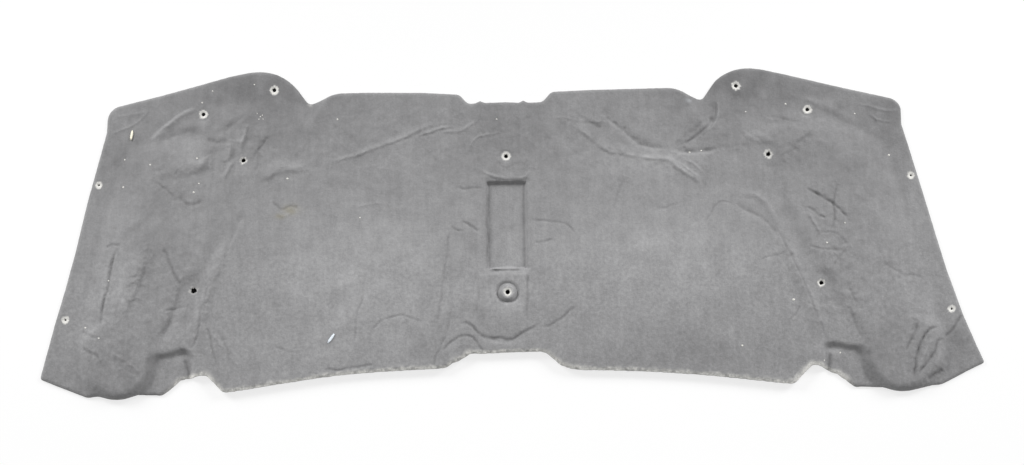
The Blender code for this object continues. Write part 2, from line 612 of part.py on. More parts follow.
class Sketch:
    """Points and lines of a flat layout, triangulated within the outline."""

    def __init__(self):
        self.points = [tuple(p) for p in OUTLINE]
        self.edges = []

    def add(self, points, closed=True, keep=None):
        """Add a line without the points that are not kept, snapped to points that were placed before it."""
        keep = np.ones(len(points), bool) if keep is None else keep
        placed = np.array(self.points)
        index = np.full(len(points), -1)
        for i in np.nonzero(keep)[0]:
            away = np.hypot(*(placed - points[i]).T)
            if away.min() < SNAP:
                index[i] = away.argmin()
                continue
            index[i] = len(self.points)
            self.points.append(tuple(points[i]))
        spans = list(zip(index, np.roll(index, -1))) if closed else list(zip(index, index[1:]))
        self.edges += [(int(a), int(b)) for a, b in spans if a >= 0 and b >= 0 and a != b]

    def scatter(self, points, gap):
        """Add loose points that lie at least gap from every point placed so far."""
        placed = np.array(self.points)
        far = [np.hypot(*(placed - p).T).min() > gap for p in points]
        self.points += [tuple(p) for p, ok in zip(points, far) if ok]

    def triangles(self, clips):
        """The triangulation without the clip holes, as points and triangles."""
        verts = [Vector(p) for p in self.points]
        rim = list(range(len(OUTLINE)))
        result = delaunay_2d_cdt(verts, self.edges, [rim], 1, LAYOUT_PRECISION)
        points = np.array([tuple(v) for v in result[0]])
        faces = [f for f in result[2] if len(f) == 3]
        middles = points[np.array(faces)].mean(1)
        keep = np.ones(len(faces), bool)
        for centre in clips:
            keep &= np.linalg.norm(middles - np.array(centre), axis=1) > CLIP_HOLE_RADIUS
        return points, [f for f, ok in zip(faces, keep) if ok]


def in_dimple(centre):
    """True for a clip where the felt rises from the flange, so that its seat is pressed in."""
    felt = moulded_height(circle(centre, CLIP_SEAT_RADIUS + CLIP_DIMPLE_SLOPE, RING_SIDES))
    return float(felt.max()) > FLANGE_THICKNESS + LEAST_DIMPLE


def engine_side(clips):
    """Layout of the moulded top sheet."""
    sketch = Sketch()
    for centre in clips:
        sketch.add(circle(centre, CLIP_HOLE_RADIUS, HOLE_SIDES))
        if in_dimple(centre):
            outer = BOSS_FOOT_RADIUS if centre == boss_centre() else CLIP_SEAT_RADIUS + CLIP_DIMPLE_SLOPE
            sketch.add(circle(centre, CLIP_SEAT_RADIUS, RING_SIDES))
            sketch.add(circle(centre, outer, RING_SIDES))
    for line, closed in feature_lines():
        sketch.add(line, closed, keep_clear(line, clips, SNAP))
    line, steep = slope_line()
    sketch.add(line, True, steep & keep_clear(line, clips, SNAP))
    grid = grid_points(GRID_STEP)
    sketch.scatter(grid[keep_clear(grid, clips, GRID_GAP)], GRID_GAP)
    return sketch


def back_side(clips):
    """Layout of the flat back sheet."""
    sketch = Sketch()
    for centre in clips:
        sketch.add(circle(centre, CLIP_HOLE_RADIUS, HOLE_SIDES))
    grid = grid_points(BACK_STEP)
    sketch.scatter(grid[keep_clear(grid, clips, BACK_GAP)], BACK_GAP)
    return sketch


def add_sheet(bm, points, heights, faces, upward):
    """Add one triangulated sheet, facing up or down."""
    verts = [bm.verts.new((x, y, z)) for (x, y), z in zip(points, heights)]
    made = []
    for a, b, c in faces:
        corner = points[[a, b, c]]
        turn = np.cross(corner[1] - corner[0], corner[2] - corner[0])
        order = (a, b, c) if (turn > 0) == upward else (a, c, b)
        made.append(bm.faces.new([verts[i] for i in order]))
    return made


def build_pad_mesh():
    """The closed moulding: engine side, flat back, cut edge and clip-hole walls."""
    clips = clip_places()
    bm = bmesh.new()
    top_points, top_faces = engine_side(clips).triangles(clips)
    heights = pad_height(top_points)
    add_sheet(bm, top_points, heights, top_faces, True)
    back_points, back_faces = back_side(clips).triangles(clips)
    back = add_sheet(bm, back_points, np.zeros(len(back_points)), back_faces, False)
    bm.verts.ensure_lookup_table()
    rim = [edge for edge in {e for f in back for e in f.edges} if edge.is_boundary]
    walls = bmesh.ops.extrude_edge_only(bm, edges=rim)["geom"]
    raised = [v for v in walls if isinstance(v, bmesh.types.BMVert)]
    rim_heights = pad_height(np.array([tuple(v.co.xy) for v in raised]))
    for vert, height in zip(raised, rim_heights):
        vert.co.z = height
    bmesh.ops.remove_doubles(bm, verts=bm.verts, dist=WELD)
    bmesh.ops.triangulate(bm, faces=bm.faces)
    bmesh.ops.recalc_face_normals(bm, faces=bm.faces)
    centre_y = (OUTLINE[:, 1].max() + OUTLINE[:, 1].min()) / 2
    bmesh.ops.translate(bm, verts=bm.verts, vec=(0.0, -centre_y, 0.0))
    mesh = bpy.data.meshes.new("insulation_pad")
    bm.to_mesh(mesh)
    bm.free()
    return mesh


def felt_material():
    """Grey nonwoven facing over fibre felt."""
    material = bpy.data.materials.new("felt_facing")
    material.use_nodes = True
    shader = material.node_tree.nodes["Principled BSDF"]
    shader.inputs["Base Color"].default_value = FELT_COLOUR
    shader.inputs["Roughness"].default_value = FELT_ROUGHNESS
    shader.inputs["Metallic"].default_value = FELT_METALLIC
    return material


def main():
    """Build the pad in an empty scene."""
    for obj in list(bpy.data.objects):
        bpy.data.objects.remove(obj, do_unlink=True)
    collection = bpy.data.collections.new("hood_insulation_pad")
    bpy.context.scene.collection.children.link(collection)
    pad = bpy.data.objects.new("insulation_pad", build_pad_mesh())
    pad.data.materials.append(felt_material())
    collection.objects.link(pad)


OUTLINE = rounded_loop(mirrored(outline_corners()))
LOFT_LOOP = rounded_loop(mirrored(loft_corners()))
WING_AREA = wing_area()

main()
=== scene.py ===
"""Looks of a worn hood insulation pad: nonwoven facing over hot-pressed felt, lying engine side up.

Units are metres, apart from the lists of folds, marks and shifts, which are in millimetres.
The pad is laid out in its design frame, whose Y is CENTRE_Y above the row frame's.
"""

import json
import math
from collections import namedtuple

import bmesh
import bpy
import numpy as np
from mathutils import Matrix, Vector, noise
from mathutils.geometry import delaunay_2d_cdt
from mathutils.kdtree import KDTree


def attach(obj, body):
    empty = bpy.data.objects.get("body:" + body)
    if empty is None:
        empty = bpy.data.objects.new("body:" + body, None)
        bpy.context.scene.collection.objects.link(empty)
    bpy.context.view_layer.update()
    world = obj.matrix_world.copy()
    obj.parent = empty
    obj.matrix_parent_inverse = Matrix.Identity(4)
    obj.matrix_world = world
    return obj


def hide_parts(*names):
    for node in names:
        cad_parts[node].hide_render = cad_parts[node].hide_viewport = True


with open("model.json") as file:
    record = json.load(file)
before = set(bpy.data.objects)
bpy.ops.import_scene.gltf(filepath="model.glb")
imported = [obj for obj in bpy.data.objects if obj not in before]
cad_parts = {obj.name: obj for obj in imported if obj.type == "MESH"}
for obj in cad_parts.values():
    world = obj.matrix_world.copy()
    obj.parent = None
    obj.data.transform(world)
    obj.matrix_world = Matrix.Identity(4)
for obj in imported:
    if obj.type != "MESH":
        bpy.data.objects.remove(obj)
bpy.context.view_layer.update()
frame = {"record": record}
MM = 0.001

# Thickness of the felt, measured up from the flat back
FLANGE_THICKNESS = 0.0040
LOFT_THICKNESS = 0.0110
WING_RISE = 0.0025

# Nose edge, from the centre notch out to the ear
NOSE_NOTCH_Y = 0.1925
NOSE_NOTCH_HALF_WIDTH = 0.0545
NOSE_NOTCH_DEPTH = 0.0142
NOSE_NOTCH_FLARE = 0.0125
NOSE_SHOULDER_X = 0.2480
NOSE_SHOULDER_RISE = 0.0045
EAR_VALLEY_X = 0.2873
EAR_VALLEY_Y = 0.1941
EAR_TIP_X = 0.3328
EAR_TIP_Y = 0.2550
EAR_RADIUS = 0.0750

# Side edge
NOSE_CORNER_X = 0.5785
NOSE_CORNER_Y = 0.1931
SIDE_UPPER_X = 0.5815
SIDE_UPPER_Y = 0.1560
SIDE_LOWER_X = 0.6330
SIDE_LOWER_Y = -0.0650
COWL_CORNER_X = 0.6738
COWL_CORNER_Y = -0.2035

# Cowl edge, from the side corner in to the centre notch
LOBE_OUTER_X = 0.6080
LOBE_X = 0.5620
LOBE_Y = -0.2400
LOBE_INNER_X = 0.5300
LOBE_SHOULDER_Y = -0.2310
STEP_OUTER_X = 0.4930
STEP_INNER_X = 0.4680
STEP_INNER_Y = -0.2105
SLOT_X = 0.4330
SLOT_Y = -0.1992
COWL_SHOULDER_X = 0.4055
COWL_SHOULDER_Y = -0.2260
COWL_BEND_X = 0.2350
COWL_BEND_Y = -0.2036
COWL_BEND_RADIUS = 2.4000
COWL_NOTCH_MOUTH_X = 0.0890
COWL_NOTCH_MOUTH_Y = -0.1985
COWL_NOTCH_HALF_WIDTH = 0.0545
COWL_NOTCH_Y = -0.1752

# Fillets of the outline
TIGHT_FILLET = 0.0040
FILLET = 0.0100
SOFT_FILLET = 0.0200
WIDE_FILLET = 0.0600
FILLET_SHARE = 0.97

# Slopes between the levels
SOFT_SLOPE = 0.0550
PANEL_SLOPE = 0.0120
STEP_SLOPE = 0.0085
LOBE_SLOPE = 0.0200
CROWN_SLOPE = 0.0220
SOFT_FROM_X = 0.2600
STEP_FROM_X = 0.4100
LOBE_FROM_X = 0.4900
LOBE_FROM_Y = -0.1250
SLOPE_BLEND = 0.0400
FAR = 1.0000

# Pressed flange between the cut edge and the lofted felt, which the centre panel runs past
EAR_FLANGE = 0.0480
SIDE_FLANGE = 0.0300
STEP_FLANGE = 0.0500
STEP_SLANT = 0.0110
SLOT_FLANGE = 0.0200
PANEL_OVERRUN = 0.0120
WING_CLIP_X = 0.4418
WING_CLIP_DROP = 0.0461
WING_CLIP_GAP = 0.0130
WING_NOSE_Y = 0.1300
WING_WAIST_Y = -0.1000
LOBE_HALF_WIDTH = 0.0610
LOBE_NOSE_Y = -0.1500
LOBE_OVERRUN = 0.0080

# Recess, tongue and boss along the centre line, where the tongue runs down to the cowl notch
RECESS_HALF_WIDTH = 0.0268
RECESS_NOSE_Y = 0.0710
RECESS_LENGTH = 0.1235
RECESS_FLOOR = 0.0045
RECESS_CORNER = 0.0030
RECESS_WALL = 0.0030
RECESS_WALL_SHARE = 0.80
RECESS_SHOULDER = 0.0070
TONGUE_HALF_WIDTH = 0.0350
TONGUE_SHIFT = -0.0060
TONGUE_GAP = 0.0110
TONGUE_END_GAP = 0.0290
TONGUE_RISE = 0.0012
TONGUE_EDGE = 0.0050
TONGUE_FADE = 0.0300
RECESS_CENTRE = (0.0, RECESS_NOSE_Y - RECESS_LENGTH / 2)
TONGUE_NOSE_Y = RECESS_NOSE_Y - RECESS_LENGTH - TONGUE_GAP
TONGUE_COWL_Y = COWL_NOTCH_Y + TONGUE_END_GAP
TONGUE_CENTRE = (TONGUE_SHIFT, (TONGUE_NOSE_Y + TONGUE_COWL_Y) / 2)
TONGUE_HALF_SIZE = (TONGUE_HALF_WIDTH, (TONGUE_NOSE_Y - TONGUE_COWL_Y) / 2)
BOSS_FOOT_RADIUS = 0.0140
BOSS_GROOVE_DEPTH = 0.0020
# Painted shade in the groove round the boss's foot, as a share taken off the facing's brightness
BOSS_GROOVE_SHADE = 0.25
BOSS_GROOVE_WIDTH = 0.0040

# Clip holes
CLIP_HOLE_RADIUS = 0.0040
CLIP_SEAT_RADIUS = 0.0085
CLIP_DIMPLE_SLOPE = 0.0060
CLIP_FUNNEL = 0.0009
SEAT_RIM_RADIUS = 0.0105
SEAT_RIM_WIDTH = 0.0022
HOLE_SIDES = 28
HOLE_TAPER = 0.80
HOLE_RIM_SHARE = 0.85
HOLE_TEAR_SCALE = 1.3
HOLE_WALL_REACH = 1.6

# Fineness of the layout
OUTLINE_STEP = 0.0022
LOOP_STEP = 0.0120
COARSE_STEP = 0.0036
FINE_STEP = 0.0018
BACK_STEP = 0.0400
FINE_REACH = 0.0060
FINE_FOLD = 0.45
ARC_STEP = math.radians(6.0)
TRIANGLE_HEIGHT = math.sqrt(3) / 2
GRID_CLEARANCE = 0.6
MERGE_REACH = 1e-7
CHUNK = 6000

# Cut edge, and where along the cowl it is frayed
LIP_WIDTH = 0.0035
LIP_DROP = 0.0014
EDGE_BULGE = 0.0004
EDGE_MIDDLE = 0.5
EDGE_RAG = 0.0006
EDGE_RAG_SCALE = 160.0
EDGE_RAG_ELSEWHERE = 0.35
FRAY_Y = -0.1600
FRAY_Y_BLEND = 0.0150
FRAY_X = 0.5000
FRAY_X_BLEND = 0.0300

# Folds
FOLD_STEP = 0.0028
FOLD_FADE = 0.15
WIDE_FOLD_FADE = 0.32
FOLD_END = 0.1
GROOVE_SHARPNESS = 1.4
FOLD_WANDER = 0.0015
FOLD_WANDER_SCALE = 45.0
FOLD_CRUMPLE = 0.0006
FOLD_CRUMPLE_SCALE = 170.0
FOLD_UNEVEN = 0.55
FOLD_UNEVEN_SCALE = 75.0

# Dirt and painted shade in the narrow grooves, lighter narrow crests: how narrow they are and how strong it
# gets
NARROW_FOLD = 5.5
CREASE_DIRT_AND_SHADE = 0.36
CREST_LIGHTENING = 0.16
FULL_FOLD = 1.6

# Noise: how fast its octaves fade, and how much finer each one is than the last
NOISE_FALL = 0.9
NOISE_STEP = 2.0

# Soft lumps of the worn felt
SWELL = 0.0006
SWELL_SCALE = 14.0
RIPPLE = 0.0003
RIPPLE_SCALE = 40.0
FLANGE_SHARE = 0.25
CRUMPLE = 0.0006
CRUMPLE_SCALE = 42.0
CRUMPLE_NARROWNESS = 1.8
CRUMPLE_SHARPNESS = 3.0
PANEL_CRUMPLE = 0.20
CRUMPLE_NOSE = (0.0100, 0.1100)
CRUMPLE_WING = (0.3900, 0.0600)
LEAST_THICKNESS = 0.0030

# Clip holes: radius of the hole and of its pale ring, how torn it is, how pale the ring is, how dark the
# hole's wall is painted (painted shade in the hole), width of the slope down to the seat, and height of a rim
# round the seat
Hole = namedtuple("Hole", "radius ring tear pale wall slope rim", defaults=(CLIP_DIMPLE_SLOPE, 0.0))
WORN_SLOPE = 0.0160
PLAIN_HOLE = Hole(0.0029, 0.0064, 0.14, 1.0, 0.12)
SIDE_HOLE = Hole(0.0015, 0.0054, 0.12, 1.0, 0.60)
HOLES = {
    "nose_clip": Hole(0.0030, 0.0064, 0.05, 1.0, 0.10, rim=0.0006),
    "boss_clip": Hole(0.0034, 0.0062, 0.08, 0.9, 0.10),
    "left_ear_clip": Hole(0.0030, 0.0066, 0.22, 1.0, 0.12),
    "left_valley_nose_clip": Hole(0.0032, 0.0052, 0.35, 0.8, 0.10, WORN_SLOPE),
    "left_valley_cowl_clip": Hole(0.0042, 0.0054, 0.50, 0.4, 0.10, WORN_SLOPE),
    "right_valley_nose_clip": Hole(0.0034, 0.0066, 0.30, 0.7, 0.10, WORN_SLOPE),
    "right_valley_cowl_clip": Hole(0.0031, 0.0054, 0.16, 0.9, 0.14, WORN_SLOPE),
    "left_side_nose_clip": SIDE_HOLE,
    "left_side_cowl_clip": SIDE_HOLE,
    "right_side_nose_clip": SIDE_HOLE,
    "right_side_cowl_clip": SIDE_HOLE,
}
RING_FADE = 0.0014
RING_WANDER = 0.04
RING_WANDER_SCALE = 260.0

# Pale felt fibre along the cut edges, with dirty dashes in it along the cowl
EDGE_PALE_REACH = 0.0025
EDGE_PALE = 0.04
COWL_PALE_REACH = 0.0058
COWL_PALE = 0.85
COWL_PATCHES = 0.8
WALL_PALE = 0.60
WALL_PALE_ELSEWHERE = 0.15
COWL_DASH = 0.55
COWL_DASH_SCALE = 170.0
COWL_DASH_REACH = 0.0055
COWL_DASH_FROM = 0.05
COWL_DASH_BLEND = 0.30
PALE_WANDER = 0.5
PALE_WANDER_SCALE = 90.0
LEAST_REACH = 0.0005

# Torn places along the edge: how pale, centre and reach in millimetres
PALE_SPOT_DEPTH = 0.0085
PALE_SPOT_FULL = 1.6
PALE_SPOTS = {
    "left nose corner": (0.3, (-287, 192), 4), "left notch corner": (0.5, (-58, -172), 6),
    "left notch side": (0.4, (-78, -186), 8), "right notch corner": (0.6, (58, -174), 8),
    "right notch side": (0.4, (78, -188), 8), "right slot": (1.0, (428, -202), 18),
    "right slot side": (0.9, (412, -215), 14), "right step": (0.9, (468, -214), 16),
    "left slot": (0.4, (-428, -202), 12), "left step": (0.3, (-470, -214), 10),
    "nose notch left": (0.2, (-50, 198), 5), "nose notch right": (0.2, (50, 198), 5),
}

# Fading, dirt and painted shade and light: change of brightness, centre and reach in millimetres
TONES = {
    "left ear": (-0.28, (-350, 210), (130, 70)), "right ear": (-0.28, (350, 210), (130, 70)),
    "nose centre": (-0.15, (0, 170), (90, 70)), "left panel": (0.24, (-200, -60), (150, 90)),
    "right panel": (0.22, (230, -30), (170, 80)), "left cowl": (0.14, (-300, -190), (90, 40)),
    "left dirt": (-0.10, (-325, -192), (60, 14)), "right dirt": (-0.10, (250, -185), (170, 26)),
    "tongue": (0.16, (-6, -100), (36, 36)), "left lobe": (-0.13, (-560, -200), (80, 50)),
    "right lobe": (-0.15, (560, -200), (80, 50)), "left wing": (-0.05, (-520, 60), (100, 130)),
    "right wing": (-0.06, (520, 60), (100, 130)), "right corner": (-0.20, (575, 190), (60, 30)),
    "right ridge": (0.20, (207, 102), (80, 22)), "right flap": (0.08, (218, 159), (60, 30)),
    "cowl notch patch": (-0.10, (-125, -170), (14, 14)), "left step": (0.32, (-478, -176), (24, 7)),
    "right step": (0.34, (467, -176), (26, 7)), "left corner slope": (-0.15, (-551, 120), (45, 50)),
    "right flange": (0.09, (599, 17), (16, 55)), "right corner slope": (-0.15, (549, 121), (50, 45)),
    "right lobe side": (-0.20, (643, -170), (20, 30)), "left pocket": (0.12, (-558, -76), (20, 46)),
    "left pocket side": (-0.08, (-511, -72), (14, 44)), "left ear swell": (0.14, (-461, 123), (22, 20)),
    "left ear hollow": (-0.14, (-459, 157), (34, 9)), "left ear patch": (0.12, (-412, 187), (22, 12)),
    "left ear shade": (-0.12, (-397, 163), (14, 9)), "left valley top": (0.14, (-388, 143), (8, 14)),
    "right ear swell": (0.12, (371, 148), (30, 13)), "right ear shade": (-0.12, (413, 100), (40, 12)),
    "right ear ridge": (0.10, (449, 192), (34, 7)), "left roll": (0.10, (-322, 100), (30, 8)),
    "left roll shade": (-0.04, (-338, 84), (28, 5)),
}
TONE_WANDER = 0.55
TONE_WANDER_SCALE = 38.0
RECESS_FADE = 0.03

# Marks: colour, strength, spots (centre and reach in millimetres), and how rough they are
Mark = namedtuple("Mark", "colour strength spots uneven scale seed")
MARKS = {
    "stain": Mark((0.300, 0.270, 0.170, 1.0), 0.40, [((-312, 35), (11, 7)), ((-326, 26), (8, 4))],
                  0.6, 120.0, 41.0),
    "scuff": Mark((0.600, 0.640, 0.680, 1.0), 0.35, [((268, 192), (4, 2))], 0.7, 200.0, 51.0),
}

# Lint specks in millimetres: across, along, radius
LINT = [
    (-245, 171, 1.3), (267, 114, 1.6), (410, 190, 1.3), (511, 174, 1.1), (560, 107, 1.5), (409, -106, 1.8),
    (333, -170, 1.4), (-448, 112, 1.4), (-516, 104, 1.2), (-554, 114, 1.1), (-554, 72, 1.4), (-452, 62, 1.5),
    (-445, 75, 1.1), (-317, 81, 1.5), (-607, -133, 1.3), (-587, -152, 1.2), (-573, -66, 1.1), (-212, 22, 1.1),
    (473, -181, 1.2), (449, -195, 1.3), (487, 5, 1.1), (460, -24, 1.4), (351, 177, 1.0), (284, 116, 1.2),
    (-429, 216, 1.1), (-368, 226, 1.0), (-444, 199, 1.2), (-13, 167, 1.1),
    (-363, 181, 0.8), (-360, 172, 0.8), (-355, 178, 0.8), (-354, 172, 0.8), (-358, 176, 0.8),
]
LINT_UNEVEN = 0.45
LINT_UNEVEN_SCALE = 900
LINT_FLATNESS = 0.45

# Slim pieces that lie on the facing: name, colour, width and height in metres, and two ends in millimetres
SLIVERS = [
    ("splinter", (0.960, 0.920, 0.760), (0.0032, 0.0016), [(-544, 159), (-546, 144)]),
    ("flake", (0.800, 0.860, 0.920), (0.0036, 0.0008), [(-257, -161), (-248, -148)]),
]
SLIVER_CUTS = 3
SLIVER_TAPER = 0.55
SLIVER_WOBBLE = 0.08
SLIVER_WOBBLE_SCALE = 4

# How much of the cowl half's mottle the smoother nose half has, and where it changes
NOSE_NAP = 0.50
NAP_Y = 0.0200
NAP_BLEND = 0.1000

# Grain of the facing: scale, detail, stretch, and how much it changes the brightness
PLAIN = (1.0, 1.0, 1.0)
GRAINS = {
    "fibres": (700.0, 3.0, (1.0, 0.35, 1.0), 0.18),
    "cross_fibres": (700.0, 3.0, (0.35, 1.0, 1.0), 0.18),
    "pepper": (420.0, 2.0, PLAIN, 0.20),
    "mottle": (190.0, 2.0, PLAIN, 0.52),
    "blotch": (60.0, 2.0, PLAIN, 0.28),
    "fading": (16.0, 3.0, PLAIN, 0.30),
    "streaks": (150.0, 2.0, (1.0, 0.12, 1.0), 0.22),
}
GRAIN_ROUGHNESS = 0.6
PEPPER_TEAR = 1.4
BUMP_STRENGTH = 0.55
BUMP_DEPTH = 0.0004
MOTTLE_RELIEF = 1.5

# Finish
FACING_SPECULAR = 0.25
FACING_ROUGHNESS = 0.92
FIBRE_SWING = 0.5
ROUGHNESS_SWING = 0.1
PLAIN_SPECULAR = 0.3
PLAIN_GRAIN_SCALE = 600.0
PLAIN_GRAIN_DETAIL = 2.0
FACING_COLOUR = (0.272, 0.271, 0.275)
FIBRE_COLOUR = (0.720, 0.712, 0.680)
LINT_COLOUR = (0.780, 0.770, 0.720)
SHARP_ANGLE = math.radians(62.0)

# Stage
FLOOR_COLOUR = (0.970, 0.970, 0.970, 1.0)
FLOOR_HALF_SIZE = 5.0
FLOOR_Z = -0.0004
FLOOR_GLOW = 0.72
SHADE_Z = -0.0003
SHADE_COLOUR = (0.050, 0.050, 0.050)
SKY_STRENGTH = 0.40
LAMP_PLACE = (2.8, 2.0, 1.7)
LAMP_AIM = (0.75, 0.05, 0.0)
LAMP_SPREAD = math.radians(50.0)
LAMP_SIZE = 1.4
LAMP_POWER = 11.6
LENS = 70.0
SENSOR = 36.0
CAMERA_TURN = math.radians(0.7237549)
CAMERA_ELEVATION = math.radians(78.0)
CAMERA_DISTANCE = 2.88
CAMERA_TARGET = (0.00728, -0.00366, 0.0)

# Edge of the right wing, along the valley beside the centre panel, nose end first
WING_EDGE = [(0.4400, 0.1750), (0.4000, 0.1480), (0.3790, 0.1050), (0.4070, -0.0060), (0.4390, -0.0640),
             (0.4570, -0.0930), (0.4760, -0.1290), (0.4990, -0.1600)]

